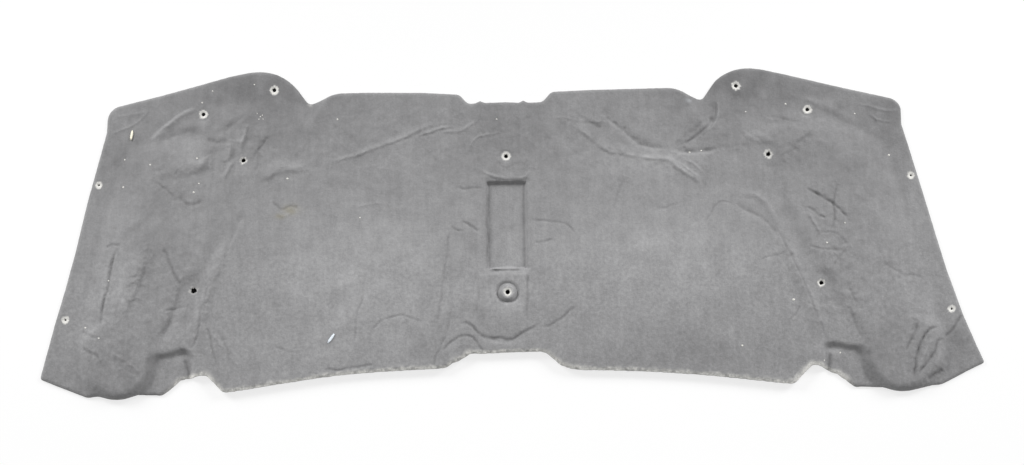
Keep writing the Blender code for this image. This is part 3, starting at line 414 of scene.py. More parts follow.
# Folds of the worn facing, in millimetres: height (a groove is negative), widths left and right of the
# course, and the course. A fold's place in the list is the seed of its wander.
FOLDS = [
    # Left ear and nose corner
    (2.8, (5, 14), [(-518, 141), (-506, 155), (-493, 166), (-479, 178), (-464, 186), (-451, 189)]),
    (-2.8, (12, 20), [(-505, 138), (-485, 148), (-462, 152), (-437, 146)]),
    (1.8, (22, 12), [(-501, 93), (-472, 95), (-443, 100), (-421, 109)]),
    (1.4, (4, 5), [(-377, 158), (-384, 135), (-391, 117), (-400, 100), (-409, 82)]),
    (1.6, (4, 9), [(-376, 164), (-381, 146), (-387, 132)]),
    (-1.6, (8, 8), [(-435, 139), (-418, 136), (-400, 137)]),
    (0.5, (8, 8), [(-417, 158), (-401, 171), (-382, 180)]),
    (-1.3, (4, 4), [(-347, 146), (-354, 132), (-361, 122), (-369, 110)]),
    (-0.54, (3, 3), [(-358, 122), (-361, 107), (-365, 93)]),
    (1.2, (16, 8), [(-360, 80), (-347, 84), (-334, 91), (-320, 96), (-304, 95), (-286, 94)]),
    (-0.3, (4, 9), [(-361, 72), (-347, 78), (-333, 87), (-317, 90), (-298, 88)]),
    (0.7, (3, 3), [(-576, 154), (-561, 160), (-546, 165), (-532, 177), (-520, 189)]),
    (-0.4, (6, 6), [(-571, 170), (-553, 173), (-535, 180)]),
    (0.5, (3, 3), [(-571, 181), (-547, 183), (-520, 189)]),
    # Left wing and lobe
    (-0.8, (3, 3), [(-515, 82), (-500, 73), (-489, 64), (-478, 53)]),
    (-1, (5, 5), [(-474, 56), (-462, 45), (-451, 44), (-438, 51)]),
    (-1, (3, 3), [(-579, -17), (-568, -12), (-555, -15)]),
    (-1.6, (3, 3), [(-563, -21), (-569, -45), (-574, -75), (-580, -98), (-585, -132)]),
    (0.8, (4, 10), [(-571, -25), (-577, -58), (-583, -90), (-590, -123)]),
    (2.6, (20, 26), [(-521, -16), (-529, -48), (-541, -80), (-554, -106), (-567, -128)]),
    (-0.5, (20, 5), [(-513, -22), (-520, -54), (-532, -86), (-545, -112)]),
    (-0.9, (3, 3), [(-611, -159), (-599, -171), (-588, -182), (-581, -196)]),
    (-0.8, (3, 3), [(-612, -137), (-601, -144), (-590, -152)]),
    (-0.7, (6, 6), [(-555, -194), (-539, -202), (-522, -208)]),
    (0.7, (3, 3), [(-568, -173), (-548, -185), (-527, -200)]),
    # Left valley and step
    (-0.9, (2.5, 2.5), [(-492, -112), (-479, -109), (-465, -105)]),
    (-2, (14, 6), [(-466, -76), (-472, -95), (-479, -117), (-487, -138), (-499, -161)]),
    (-1.3, (4, 4), [(-494, -19), (-486, -39), (-477, -58), (-467, -76)]),
    (1.9, (12, 18), [(-380, 22), (-394, -5), (-406, -29), (-417, -52), (-427, -81), (-433, -107),
     (-441, -135), (-451, -162)]),
    (-1.1, (2.5, 2.5), [(-439, -113), (-440, -131), (-445, -151), (-451, -166)]),
    (0.7, (2.5, 2.5), [(-437, -127), (-430, -145), (-424, -162), (-420, -181)]),
    (-0.8, (3, 3), [(-431, -132), (-424, -152), (-418, -174), (-413, -192)]),
    (0.8, (3, 3), [(-420, -146), (-412, -155), (-404, -166)]),
    (-0.8, (3, 3), [(-414, -140), (-405, -154), (-399, -170), (-396, -187)]),
    (-1.8, (4, 4), [(-461, -181), (-457, -195), (-453, -207)]),
    (-0.54, (2.5, 2.5), [(-452, -168), (-438, -169), (-430, -175)]),
    (-0.7, (2.5, 2.5), [(-430, -77), (-434, -97)]),
    (-0.6, (3, 3), [(-336, -161), (-324, -167), (-310, -171), (-296, -172)]),
    # Left panel
    (1.2, (6, 4), [(-255, 104), (-233, 111), (-215, 117), (-194, 124), (-168, 134), (-150, 140),
     (-135, 148), (-117, 156), (-98, 161)]),
    (1.3, (4, 3), [(-127, 143), (-109, 149), (-95, 154), (-80, 157)]),
    (1, (4, 4), [(-95, 150), (-73, 151), (-60, 154), (-51, 161), (-38, 166)]),
    (0.9, (3, 3), [(-54, 119), (-50, 130), (-42, 140), (-28, 143), (-7, 147)]),
    (0.5, (2.5, 2.5), [(-76, 173), (-61, 181)]),
    (0.5, (2.5, 2.5), [(-100, 177), (-84, 185)]),
    (-0.85, (3, 3), [(-73, 69), (-65, 63), (-55, 63), (-42, 64), (-29, 62)]),
    (-1.3, (3, 3), [(-64, 15), (-52, 8), (-41, 0)]),
    (-0.9, (2.5, 2.5), [(-81, 8), (-72, 2), (-62, 1)]),
    (-0.3, (3, 3), [(-170, 64), (-160, 54), (-149, 42)]),
    (0.5, (3, 3), [(-217, 37), (-201, 41), (-182, 45)]),
    (-0.9, (3, 3), [(-338, 47), (-326, 35), (-312, 41), (-300, 36)]),
    (-0.8, (3, 3), [(-82, 5), (-86, -27), (-89, -53), (-94, -85), (-97, -111), (-100, -136)]),
    (-0.5, (3, 3), [(-79, -100), (-83, -127), (-88, -148)]),
    (-0.8, (2.5, 2.5), [(-205, -81), (-209, -101), (-216, -116), (-217, -135), (-220, -162)]),
    (-0.85, (2.5, 2.5), [(-196, -146), (-187, -135), (-179, -128), (-163, -124), (-150, -122), (-136, -127),
     (-119, -133)]),
    (-1.1, (2.5, 2.5), [(-264, -200), (-253, -198), (-243, -201), (-229, -198), (-215, -196),
     (-189, -193)]),
    (-1, (8, 8), [(-123, -162), (-119, -177), (-115, -191)]),
    # Cowl notch, tongue and nose clip
    (-1.38, (3, 3), [(-95, -176), (-88, -169), (-79, -162), (-71, -154), (-62, -151), (-52, -153),
     (-45, -160), (-38, -169), (-28, -172)]),
    (-0.9, (3, 3), [(-86, -150), (-92, -160), (-98, -171), (-104, -182), (-105, -199)]),
    (0.4, (5, 5), [(-84, -178), (-71, -165), (-58, -163), (-48, -170)]),
    (-1.44, (3.5, 3.5), [(-72, -137), (-63, -133), (-53, -137), (-44, -145), (-34, -152), (-22, -155),
     (-14, -154), (-7, -156), (2, -158), (11, -155), (24, -148), (35, -142), (47, -134)]),
    (-1.3, (3, 3), [(47, -139), (58, -138), (68, -132), (78, -127), (88, -118), (100, -111)]),
    (-2, (24, 6), [(-39, -153), (-22, -158), (-2, -161), (15, -158), (29, -152)]),
    (-0.72, (3, 3), [(-40, -82), (-43, -101), (-45, -118), (-43, -133)]),
    (-1, (4, 4), [(29, -61), (29, -87), (28, -110), (27, -132)]),
    (1.2, (4, 2.5), [(-37, 89), (-23, 83), (-8, 79), (9, 78), (24, 78), (33, 85), (39, 97)]),
    (-0.48, (2.5, 2.5), [(-12, 103), (-8, 97), (1, 94), (8, 97), (12, 103)]),
    (-0.9, (6, 6), [(30, 186), (30, 150), (28, 102)]),
    # Right panel and flap
    (-1.2, (5, 5), [(114, 161), (127, 157), (140, 151)]),
    (0.5, (3, 3), [(69, 166), (88, 167), (105, 162), (124, 161), (142, 160)]),
    (1.3, (14, 5), [(99, 153), (114, 144), (126, 135), (138, 125), (148, 118), (167, 114), (196, 107)]),
    (1.6, (8, 5), [(193, 107), (217, 105), (236, 102), (249, 91), (264, 81), (283, 69)]),
    (-2.4, (9, 6), [(140, 178), (149, 166), (158, 158), (168, 149), (178, 140), (187, 131), (197, 125),
     (210, 121), (225, 119), (244, 118)]),
    (-2.6, (8, 6), [(245, 116), (268, 114), (290, 115), (309, 118)]),
    (-0.5, (5, 5), [(302, 118), (327, 122), (352, 123)]),
    (-0.7, (5, 5), [(244, 122), (254, 131), (266, 141), (278, 150), (287, 160)]),
    (-3, (6, 18), [(308, 194), (307, 176), (302, 162), (295, 151)]),
    (-0.96, (3, 3), [(297, 155), (284, 145), (272, 135), (260, 126)]),
    (-0.42, (2.5, 2.5), [(165, 177), (190, 179), (219, 179), (249, 181), (281, 185)]),
    (0.9, (2.5, 2.5), [(248, 97), (258, 93), (267, 85), (277, 76)]),
    (0.8, (2.5, 2.5), [(258, 102), (271, 96), (282, 87)]),
    (-0.7, (3, 3), [(215, 30), (228, 31), (237, 34), (249, 37)]),
    (-0.5, (4, 4), [(172, 76), (161, 56), (155, 29)]),
    (-1, (2.5, 2.5), [(37, 16), (56, 14), (75, 12), (85, 9), (93, 2), (102, -6)]),
    (-0.8, (2.5, 2.5), [(40, -18), (53, -17), (66, -13)]),
    # Right ear and nose corner
    (-0.3, (4, 4), [(327, 162), (337, 148), (346, 137), (356, 129), (371, 125), (388, 122), (407, 119)]),
    (-0.6, (5, 7), [(405, 118), (422, 124), (433, 132), (444, 143), (458, 154)]),
    (1.4, (24, 11), [(345, 141), (359, 133), (378, 128), (397, 126)]),
    (-0.7, (4, 4), [(380, 172), (397, 169), (416, 163), (435, 160)]),
    (0.9, (8, 10), [(412, 202), (432, 198), (454, 191), (472, 184), (489, 174), (504, 164), (515, 156)]),
    (-0.5, (8, 10), [(439, 163), (457, 169), (475, 171), (492, 166)]),
    (-0.42, (3, 3), [(503, 141), (515, 148), (533, 157)]),
    (0.8, (3.5, 3.5), [(517, 188), (535, 183), (553, 178), (577, 178)]),
    (0.8, (3, 3), [(532, 174), (543, 165), (555, 161), (570, 160)]),
    (-0.4, (4, 7), [(533, 172), (540, 162), (547, 147)]),
    (-0.5, (7, 5), [(374, 96), (388, 91), (406, 97)]),
    (-0.48, (2.5, 2.5), [(397, 106), (409, 111), (424, 118)]),
    # Right valley
    (-0.8, (2.5, 2.5), [(285, 7), (293, 18), (298, 30), (304, 37), (312, 40), (328, 37)]),
    (-0.9, (10, 5), [(328, 37), (341, 30), (355, 22), (368, 14), (379, 4), (391, -12)]),
    (1.1, (6, 7), [(339, 50), (353, 51), (366, 45), (377, 33), (385, 18), (392, 1)]),
    (1.9, (8, 18), [(390, -5), (402, -27), (413, -51), (423, -77), (435, -107), (445, -140), (455, -167)]),
    (-0.7, (4, 3), [(489, -88), (494, -100), (499, -112)]),
    (-1, (5, 4), [(489, -114), (492, -132), (497, -148), (505, -161)]),
    (-0.5, (6, 6), [(504, -148), (507, -168)]),
    (-0.7, (2.5, 2.5), [(420, -114), (410, -127), (397, -141)]),
    (-0.7, (2.5, 2.5), [(361, -47), (376, -42), (390, -40), (403, -35)]),
    (-0.42, (2.5, 2.5), [(362, 4), (377, -12), (392, -29)]),
    # Right wing
    (-1.5, (3.5, 3.5), [(435, 58), (447, 50), (458, 43), (470, 34), (481, 25), (492, 11)]),
    (-1, (3, 3), [(433, 31), (443, 24), (451, 16), (463, 13)]),
    (1.2, (3, 3), [(436, 22), (442, 7), (452, -8)]),
    (-1.1, (3, 3), [(478, 65), (474, 45), (472, 31), (473, 20), (470, 4), (465, -8)]),
    (-0.7, (3, 3), [(450, -8), (465, -8), (476, -12), (484, -21), (491, -27)]),
    (-0.7, (3, 3), [(434, -29), (451, -32), (468, -34), (485, -33)]),
    (-0.7, (3, 3), [(488, -34), (478, -43), (468, -56)]),
    (-0.7, (3, 3), [(537, -52), (551, -61), (561, -67), (572, -72), (586, -72), (602, -75)]),
    (-0.3, (3, 3), [(587, -85), (584, -104), (581, -121)]),
    (-0.42, (2.5, 2.5), [(585, -127), (606, -126)]),
    # Right lobe and step
    (-2.2, (3.5, 3.5), [(617, -146), (602, -153), (591, -165), (582, -179), (574, -199), (569, -225)]),
    (-1.2, (3, 3), [(584, -140), (579, -157), (570, -172), (561, -184)]),
    (-2.2, (3.5, 3.5), [(622, -165), (611, -169), (605, -183), (596, -195), (586, -205), (577, -216)]),
    (-1.6, (4, 3.5), [(650, -130), (639, -147), (623, -163)]),
    (1.6, (5, 5), [(603, -165), (593, -181), (583, -198), (574, -219)]),
    (1, (9, 5), [(619, -175), (613, -190), (600, -208)]),
    (-2.6, (6, 5), [(590, -226), (603, -217), (614, -208)]),
    (-2, (4, 4), [(458, -181), (457, -195), (454, -210)]),
    # Left ear again, and the valley's streak and stain
    (1.6, (14, 22), [(-435, 142), (-433, 124), (-442, 105), (-453, 89)]),
    (1.3, (5, 12), [(-402, 136), (-400, 121), (-407, 106)]),
    (-1.4, (6, 6), [(-382, 176), (-398, 164), (-409, 149)]),
    (-1.4, (7, 10), [(-376, 40), (-385, 18), (-395, -8), (-405, -33), (-414, -54)]),
    (0.5, (3, 3), [(-344, 52), (-335, 35), (-323, 26), (-312, 30)]),
    # Recess, right flap, right ear and right valley again
    (-1.4, (3, 3), [(-27, 61), (-28, 24), (-28, -13), (-28, -48)]),
    (-2, (3, 3), [(-25, -58), (-2, -58), (23, -58)]),
    (-0.7, (3, 3), [(303, 192), (304, 176), (299, 161), (289, 149), (277, 137), (260, 128), (243, 120)]),
    (1.3, (3, 4), [(310, 192), (311, 173), (306, 159), (296, 146)]),
    (1, (20, 9), [(405, 118), (422, 124), (433, 132), (444, 143), (458, 154)]),
    (-0.8, (3, 3), [(390, -2), (402, -29), (414, -55), (426, -83), (436, -111), (446, -143), (453, -166)]),
]

# How far the worn pad's edges lie from the mirror-symmetric outline, in millimetres
NOSE_SHIFT = [(-600, -1.8), (-550, -1.7), (-500, -1.6), (-450, -0.4), (-405, 1.0), (-370, -0.5),
              (-335, 0.2), (-290, -1.6), (-240, -2.1), (-200, -0.7), (-120, 0), (-60, -2.4), (-44, -1.4),
              (-37, 2.2), (-30, -0.8), (0, 0), (20, -1.0), (26, 2.0), (32, -1.0), (45, -1.0), (65, 0.5),
              (120, 1.3), (260, 0), (290, -1.9), (310, 0.5), (335, -1.4), (370, -4.4), (405, -3.9),
              (450, -3.9), (500, -4.0), (550, -2.9), (600, -3.0)]
COWL_SHIFT = [(-650, -2.3), (-605, -1.2), (-590, 3.0), (-575, 2.0), (-560, 1.8), (-500, 0.5), (-480, -1.4),
              (-466, 0.6), (-450, -1.9), (-435, -3.0), (-422, -1.0), (-405, -2.6), (-390, -2.9),
              (-350, -2.0), (-324, -1.6), (-280, 0), (-240, 1.3), (-100, 0.8), (-82, 2.4), (-75, 0.6),
              (-68, -1.4), (-60, -1.4), (-35, -2.0), (0, -0.6), (45, 0.2), (60, -3.4), (75, -6.2),
              (89, -1.8), (103, -3.2), (280, -1.4), (350, -1.3), (390, -0.6), (430, 1.0), (446, 2.2),
              (460, -1.8), (487, -1.0), (501, 0.5), (544, -2.0), (572, 1.7), (600, 2.8), (615, 0.6),
              (630, 2.0), (650, 4.0), (665, 4.9)]
LEFT_SHIFT = [(-240, 7.2), (-205, 7.3), (-175, 5.3), (-150, 4.1), (-130, 3.0), (-100, 2.2), (-60, 0.6),
              (-25, 0.8), (50, -1.4), (120, -0.8), (155, -0.9), (175, -1.8), (195, -0.6), (240, -2.0)]
RIGHT_SHIFT = [(-240, 3.0), (-205, 4.7), (-175, 1.6), (-150, 0.2), (-130, -0.4), (-100, 0), (-25, -1.1),
               (50, -1.8), (155, -3.3), (180, -1.0), (200, -1.6), (240, -2.4)]
NOSE_SHIFT_Y = 0.120
COWL_SHIFT_Y = -0.110
SIDE_SHIFT_X = 0.500
SHIFT_REACH = 0.060


def outline_corners():
    """Corners (across, along, radius) of the right half of the cut edge, nose centre to cowl centre."""
    nose_y = NOSE_NOTCH_Y + NOSE_NOTCH_DEPTH
    return [
        (NOSE_NOTCH_HALF_WIDTH, NOSE_NOTCH_Y, FILLET),
        (NOSE_NOTCH_HALF_WIDTH + NOSE_NOTCH_FLARE, nose_y, FILLET),
        (NOSE_SHOULDER_X, nose_y + NOSE_SHOULDER_RISE, WIDE_FILLET),
        (EAR_VALLEY_X, EAR_VALLEY_Y, FILLET),
        (EAR_TIP_X, EAR_TIP_Y, EAR_RADIUS),
        (NOSE_CORNER_X, NOSE_CORNER_Y, SOFT_FILLET),
        (SIDE_UPPER_X, SIDE_UPPER_Y, WIDE_FILLET),
        (SIDE_LOWER_X, SIDE_LOWER_Y, WIDE_FILLET),
        (COWL_CORNER_X, COWL_CORNER_Y, TIGHT_FILLET),
        (LOBE_OUTER_X, LOBE_SHOULDER_Y, SOFT_FILLET),
        (LOBE_X, LOBE_Y, WIDE_FILLET),
        (LOBE_INNER_X, LOBE_SHOULDER_Y, TIGHT_FILLET),
        (STEP_OUTER_X, LOBE_SHOULDER_Y, FILLET),
        (STEP_INNER_X, STEP_INNER_Y, FILLET),
        (SLOT_X, SLOT_Y, FILLET),
        (COWL_SHOULDER_X, COWL_SHOULDER_Y, FILLET),
        (COWL_BEND_X, COWL_BEND_Y, COWL_BEND_RADIUS),
        (COWL_NOTCH_MOUTH_X, COWL_NOTCH_MOUTH_Y, FILLET),
        (COWL_NOTCH_HALF_WIDTH, COWL_NOTCH_Y, FILLET),
    ]


def loft_corners():
    """Right half of the lofted area, which stands above the pressed flange."""
    nose_y = NOSE_NOTCH_Y + NOSE_NOTCH_DEPTH + PANEL_OVERRUN
    step_y = LOBE_SHOULDER_Y + STEP_FLANGE
    wing_clip_y = edge_at(WING_CLIP_X, 1) - WING_CLIP_DROP
    return [
        (NOSE_NOTCH_HALF_WIDTH, NOSE_NOTCH_Y + PANEL_OVERRUN, FILLET),
        (NOSE_NOTCH_HALF_WIDTH + NOSE_NOTCH_FLARE, nose_y, FILLET),
        (NOSE_SHOULDER_X, nose_y + NOSE_SHOULDER_RISE, SOFT_FILLET),
        (EAR_VALLEY_X, EAR_VALLEY_Y, SOFT_FILLET),
        (EAR_TIP_X, EAR_TIP_Y - EAR_FLANGE, SOFT_FILLET),
        (WING_CLIP_X, wing_clip_y + WING_CLIP_GAP, WIDE_FILLET),
        (edge_at(WING_NOSE_Y, 0) - SIDE_FLANGE, WING_NOSE_Y, WIDE_FILLET),
        (edge_at(WING_WAIST_Y, 0) - SIDE_FLANGE, WING_WAIST_Y, WIDE_FILLET),
        (LOBE_X + LOBE_HALF_WIDTH, LOBE_NOSE_Y, WIDE_FILLET),
        (LOBE_X + LOBE_HALF_WIDTH, LOBE_Y - LOBE_OVERRUN, WIDE_FILLET),
        (LOBE_X - LOBE_HALF_WIDTH, LOBE_Y - LOBE_OVERRUN, WIDE_FILLET),
        (LOBE_X - LOBE_HALF_WIDTH, step_y, FILLET),
        (SLOT_X + SLOT_FLANGE, step_y + STEP_SLANT, FILLET),
        (SLOT_X + SLOT_FLANGE, SLOT_Y - PANEL_OVERRUN, FILLET),
        (COWL_SHOULDER_X, COWL_SHOULDER_Y - PANEL_OVERRUN, FILLET),
        (COWL_BEND_X, COWL_BEND_Y - PANEL_OVERRUN, COWL_BEND_RADIUS),
        (COWL_NOTCH_MOUTH_X, COWL_NOTCH_MOUTH_Y - PANEL_OVERRUN, FILLET),
        (COWL_NOTCH_HALF_WIDTH, COWL_NOTCH_Y - PANEL_OVERRUN, FILLET),
    ]


def wing_area():
    """An area that takes in all of the pad outboard of the right valley."""
    (nose_x, _), (cowl_x, _) = WING_EDGE[0], WING_EDGE[-1]
    return np.array([(nose_x, FAR)] + WING_EDGE + [(cowl_x, -FAR), (FAR, -FAR), (FAR, FAR)])


def mirrored(corners):
    """A right-half run of corners, closed by its mirror image."""
    return corners + [(-x, y, radius) for x, y, radius in reversed(corners)]


def split(start, end, step):
    """Points from start up to, but without, end, no further apart than step."""
    pieces = max(1, math.ceil((end - start).length / step))
    return [start.lerp(end, i / pieces) for i in range(pieces)]


def corner_turn(corners, i):
    """The sides that meet at a corner, as vectors from it, and the angle turned there."""
    corner = Vector(corners[i][:2])
    back = Vector(corners[i - 1][:2]) - corner
    ahead = Vector(corners[(i + 1) % len(corners)][:2]) - corner
    return corner, back, ahead, math.pi - back.angle(ahead)


def fillet_reaches(corners):
    """How far each fillet reaches along its sides, shortened where two fillets would meet."""
    turns = [corner_turn(corners, i) for i in range(len(corners))]
    wanted = [radius * math.tan(turn / 2) for (_, _, radius), (_, _, _, turn) in zip(corners, turns)]
    reaches = []
    for i, (_, back, ahead, _) in enumerate(turns):
        before = FILLET_SHARE * back.length / (wanted[i] + wanted[i - 1])
        after = FILLET_SHARE * ahead.length / (wanted[i] + wanted[(i + 1) % len(wanted)])
        reaches.append(wanted[i] * min(1.0, before, after))
    return reaches


def rounded_loop(corners, step):
    """A closed run of points through corners that are filleted by their own radius."""
    stretches = []
    for i, reach in enumerate(fillet_reaches(corners)):
        corner, back, ahead, turn = corner_turn(corners, i)
        arc_radius = reach / math.tan(turn / 2)
        inward = (back.normalized() + ahead.normalized()).normalized()
        centre = corner + inward * (arc_radius / math.cos(turn / 2))
        start = corner + back.normalized() * reach - centre
        side = math.copysign(1.0, back.x * ahead.y - back.y * ahead.x)
        pieces = max(1, math.ceil(turn / ARC_STEP / 2), math.ceil(arc_radius * turn / step))
        stretches.append([centre + rotated(start, -side * turn * k / pieces) for k in range(pieces + 1)])
    points = []
    for i, arc in enumerate(stretches):
        points += arc[:-1] + split(arc[-1], stretches[(i + 1) % len(stretches)][0], step)
    return np.array([tuple(p) for p in points])


def rotated(vector, angle):
    """A 2D vector turned by an angle."""
    c, s = math.cos(angle), math.sin(angle)
    return Vector((vector.x * c - vector.y * s, vector.x * s + vector.y * c))


def open_path(points, step):
    """A Catmull-Rom curve through the points, sampled about every step."""
    knots = [Vector(p) for p in points]
    knots = [knots[0] * 2 - knots[1]] + knots + [knots[-1] * 2 - knots[-2]]
    path = []
    for a, b, c, d in zip(knots, knots[1:], knots[2:], knots[3:]):
        pieces = max(1, round((c - b).length / step))
        for k in range(pieces):
            t = k / pieces
            path.append((b * 2 + (c - a) * t + (a * 2 - b * 5 + c * 4 - d) * t ** 2
                         + (b * 3 - a - c * 3 + d) * t ** 3) / 2)
    path.append(knots[-2])
    return np.array([tuple(p) for p in path])


def in_chunks(function, points):
    """A per-point function of many points, worked out a few thousand at a time."""
    parts = [function(part) for part in np.array_split(points, math.ceil(len(points) / CHUNK))]
    return np.concatenate(parts)


def path_distance(points, path, closed):
    """Rows of distance to a path and share (0 to 1) of the way along it, for each point."""
    ends = np.roll(path, -1, axis=0) if closed else path[1:]
    starts = path if closed else path[:-1]
    span = ends - starts
    lengths = np.linalg.norm(span, axis=1)
    offsets = np.concatenate([[0.0], np.cumsum(lengths)[:-1]])

    def nearest(part):
        away = part[:, None, :] - starts[None]
        share = np.clip((away * span).sum(2) / (lengths ** 2), 0, 1)
        distance = np.linalg.norm(away - share[..., None] * span, axis=2)
        best = distance.argmin(1)
        rows = np.arange(len(part))
        along = (offsets[best] + share[rows, best] * lengths[best]) / lengths.sum()
        return np.column_stack([distance[rows, best], along])

    return in_chunks(nearest, points)


def inside(points, loop):
    """True for each point inside a closed loop."""
    x0, y0 = loop[:, 0], loop[:, 1]
    x1, y1 = np.roll(x0, -1), np.roll(y0, -1)
    rise = np.where(y1 == y0, 1.0, y1 - y0)

    def crossings_odd(part):
        x, y = part[:, :1], part[:, 1:]
        crossing = ((y0 > y) != (y1 > y)) & (x < x0 + (y - y0) * (x1 - x0) / rise)
        return crossing.sum(1) % 2 == 1

    return in_chunks(crossings_odd, points)


def depth(points, loop):
    """Distance of each point inside a loop, negative outside it."""
    distance = path_distance(points, loop, True)[:, 0]
    return np.where(inside(points, loop), distance, -distance)


def smooth(share):
    """An S-curve from 0 to 1."""
    t = np.clip(share, 0, 1)
    return t * t * (3 - 2 * t)


def rough(points, scale, seed, octaves=2):
    """Smooth noise of about -1 to 1 over the points, with one cycle in about 1 / scale."""
    places = [Vector((x * scale, y * scale, seed)) for x, y in points]
    return np.array([noise.fractal(place, NOISE_FALL, NOISE_STEP, octaves) for place in places])


def distance_from(points, centre):
    """Distance of each point from a centre."""
    return np.linalg.norm(points - np.array(centre), axis=1)


def ring_share(away, radius, width):
    """1 at a radius, falling to 0 a width inside and outside it."""
    return np.clip(1 - np.abs(away - radius) / width, 0, 1)


def slope_width(points):
    """Width of the slope up from the flange: steep round the lobes and steps, soft along the wings."""
    x, y = np.abs(points[:, 0]), points[:, 1]
    wing = smooth((x - SOFT_FROM_X) / SLOPE_BLEND) * smooth((y - LOBE_FROM_Y) / SLOPE_BLEND + 1)
    step = smooth((x - STEP_FROM_X) / SLOPE_BLEND) * smooth((LOBE_FROM_Y - y) / SLOPE_BLEND)
    steep = STEP_SLOPE + (LOBE_SLOPE - STEP_SLOPE) * smooth((x - LOBE_FROM_X) / SLOPE_BLEND)
    width = PANEL_SLOPE + (SOFT_SLOPE - PANEL_SLOPE) * wing
    return width + (steep - width) * step


def box_depth(points, centre, half_size):
    """Distance outside a box in plan, zero or negative inside it."""
    over = np.abs(points - np.array(centre)) - np.array(half_size)
    return np.linalg.norm(np.maximum(over, 0), axis=1) + np.minimum(over.max(1), 0)


def moulded_height(points, loft):
    """Height of the pressed relief without clips and folds, where loft is the depth in the lofted area."""
    half = np.column_stack([np.abs(points[:, 0]), points[:, 1]])
    height = FLANGE_THICKNESS + (LOFT_THICKNESS - FLANGE_THICKNESS) * smooth(loft / slope_width(points))
    wing = np.minimum(loft, depth(half, WING_AREA))
    height = height + WING_RISE * smooth(wing / CROWN_SLOPE)
    return tongue_height(points, height)


def tongue_height(points, height):
    """The flat tongue between the recess and the cowl notch."""
    away = box_depth(points, TONGUE_CENTRE, TONGUE_HALF_SIZE)
    fade = smooth((points[:, 1] - TONGUE_COWL_Y) / TONGUE_FADE)
    return height + TONGUE_RISE * fade * (1 - smooth(away / TONGUE_EDGE + 0.5))


def recess_share(points):
    """How far each point is out of the recess: 0 on its floor, 1 on the panel."""
    away = box_depth(points, RECESS_CENTRE, (RECESS_HALF_WIDTH, RECESS_LENGTH / 2))
    wall = RECESS_WALL_SHARE * smooth(away / RECESS_WALL)
    shoulder = (1 - RECESS_WALL_SHARE) * smooth((away - RECESS_WALL) / RECESS_SHOULDER)
    return wall + shoulder


def fold_height(points):
    """Sum of the folds: each a wandering crest or groove that fades out at its two ends."""
    height = np.zeros(len(points))
    for number, (rise, widths, course) in enumerate(FOLDS):
        path = fold_path(number, course, widths)
        near = near_path(points, path, max(widths) * MM)
        if len(near):
            height[near] += rise * MM * fold_profile(points[near], path, widths, rise < 0)
    return height


def fold_path(number, course, widths):
    """The wandering line of one fold, which is crumpled too if it is narrow."""
    path = open_path(np.array(course) * MM, FOLD_STEP)
    wander = [rough(path, FOLD_WANDER_SCALE, seed) for seed in (number, -number)]
    path = path + FOLD_WANDER * np.column_stack(wander)
    if min(widths) > NARROW_FOLD:
        return path
    crumple = [rough(path, FOLD_CRUMPLE_SCALE, seed) for seed in (number, -number)]
    return path + FOLD_CRUMPLE * np.column_stack(crumple)


def near_path(points, path, reach):
    """Numbers of the points in the box round a path, grown by a reach."""
    return np.nonzero(((points > path.min(0) - reach) & (points < path.max(0) + reach)).all(1))[0]


def fold_profile(points, path, widths, groove):
    """Share of a fold's full height at each point: 1 on its line, 0 past its width on that side."""
    distance, along = path_distance(points, path, False).T
    side = np.where(left_of(points, path), *(width * MM for width in widths))
    share = np.clip(1 - distance / side, 0, 1)
    length = FOLD_FADE if min(widths) <= NARROW_FOLD else WIDE_FOLD_FADE
    fade = smooth(np.minimum(along, 1 - along) / length + FOLD_END)
    fade = fade * (1 + FOLD_UNEVEN * rough(points, FOLD_UNEVEN_SCALE, seed=61.0))
    return fade * (share ** GROOVE_SHARPNESS if groove else smooth(share))


def crease_tone(points):
    """Change of brightness along the narrow folds: dirt and painted shade in the grooves, lighter crests."""
    change = np.zeros(len(points))
    for number, (rise, widths, course) in enumerate(FOLDS):
        width = min(widths)
        if width > NARROW_FOLD:
            continue
        path = fold_path(number, course, widths)
        near = near_path(points, path, width * MM)
        if len(near):
            share = fold_profile(points[near], path, (width, width), True)
            # Dirt and painted shade darken the grooves; the crests are lightened
            strength = -CREASE_DIRT_AND_SHADE if rise < 0 else CREST_LIGHTENING
            change[near] += strength * min(1.0, abs(rise) / FULL_FOLD) * share
    return np.clip(change, -CREASE_DIRT_AND_SHADE, CREST_LIGHTENING)


def left_of(points, path):
    """True for each point on the left of a path, looking along it."""
    starts, span = path[:-1], path[1:] - path[:-1]
    middles = starts + span / 2

    def side(part):
        nearest = np.linalg.norm(part[:, None, :] - middles[None], axis=2).argmin(1)
        away = part - middles[nearest]
        return span[nearest, 0] * away[:, 1] - span[nearest, 1] * away[:, 0] > 0

    return in_chunks(side, points)


def edge_at(coordinate, axis):
    """The outline's largest X at a given Y (axis 0), or its largest Y at a given X (axis 1)."""
    here, there = OUTLINE, np.roll(OUTLINE, -1, axis=0)
    a, b = here[:, 1 - axis], there[:, 1 - axis]
    crossing = (a <= coordinate) != (b <= coordinate)
    share = (coordinate - a[crossing]) / (b - a)[crossing]
    return float((here[crossing, axis] + share * (there - here)[crossing, axis]).max())


def clip_seats():
    """Centre, seat height and hole of each clip, by its name in the record."""
    physics = frame["record"]["physics"]
    heights = {m["name"].replace("_seat", ""): m["pos_m"][2] for m in frame["record"]["mounts"]}
    seats = {}
    for opening in physics["openings"]:
        name = opening["name"].replace("_hole", "")
        low, high = np.array(opening["box_m"])
        x, y = ((low + high) / 2)[:2]
        seats[name] = ((x, y + CENTRE_Y), heights[name], HOLES.get(name, PLAIN_HOLE))
    return seats


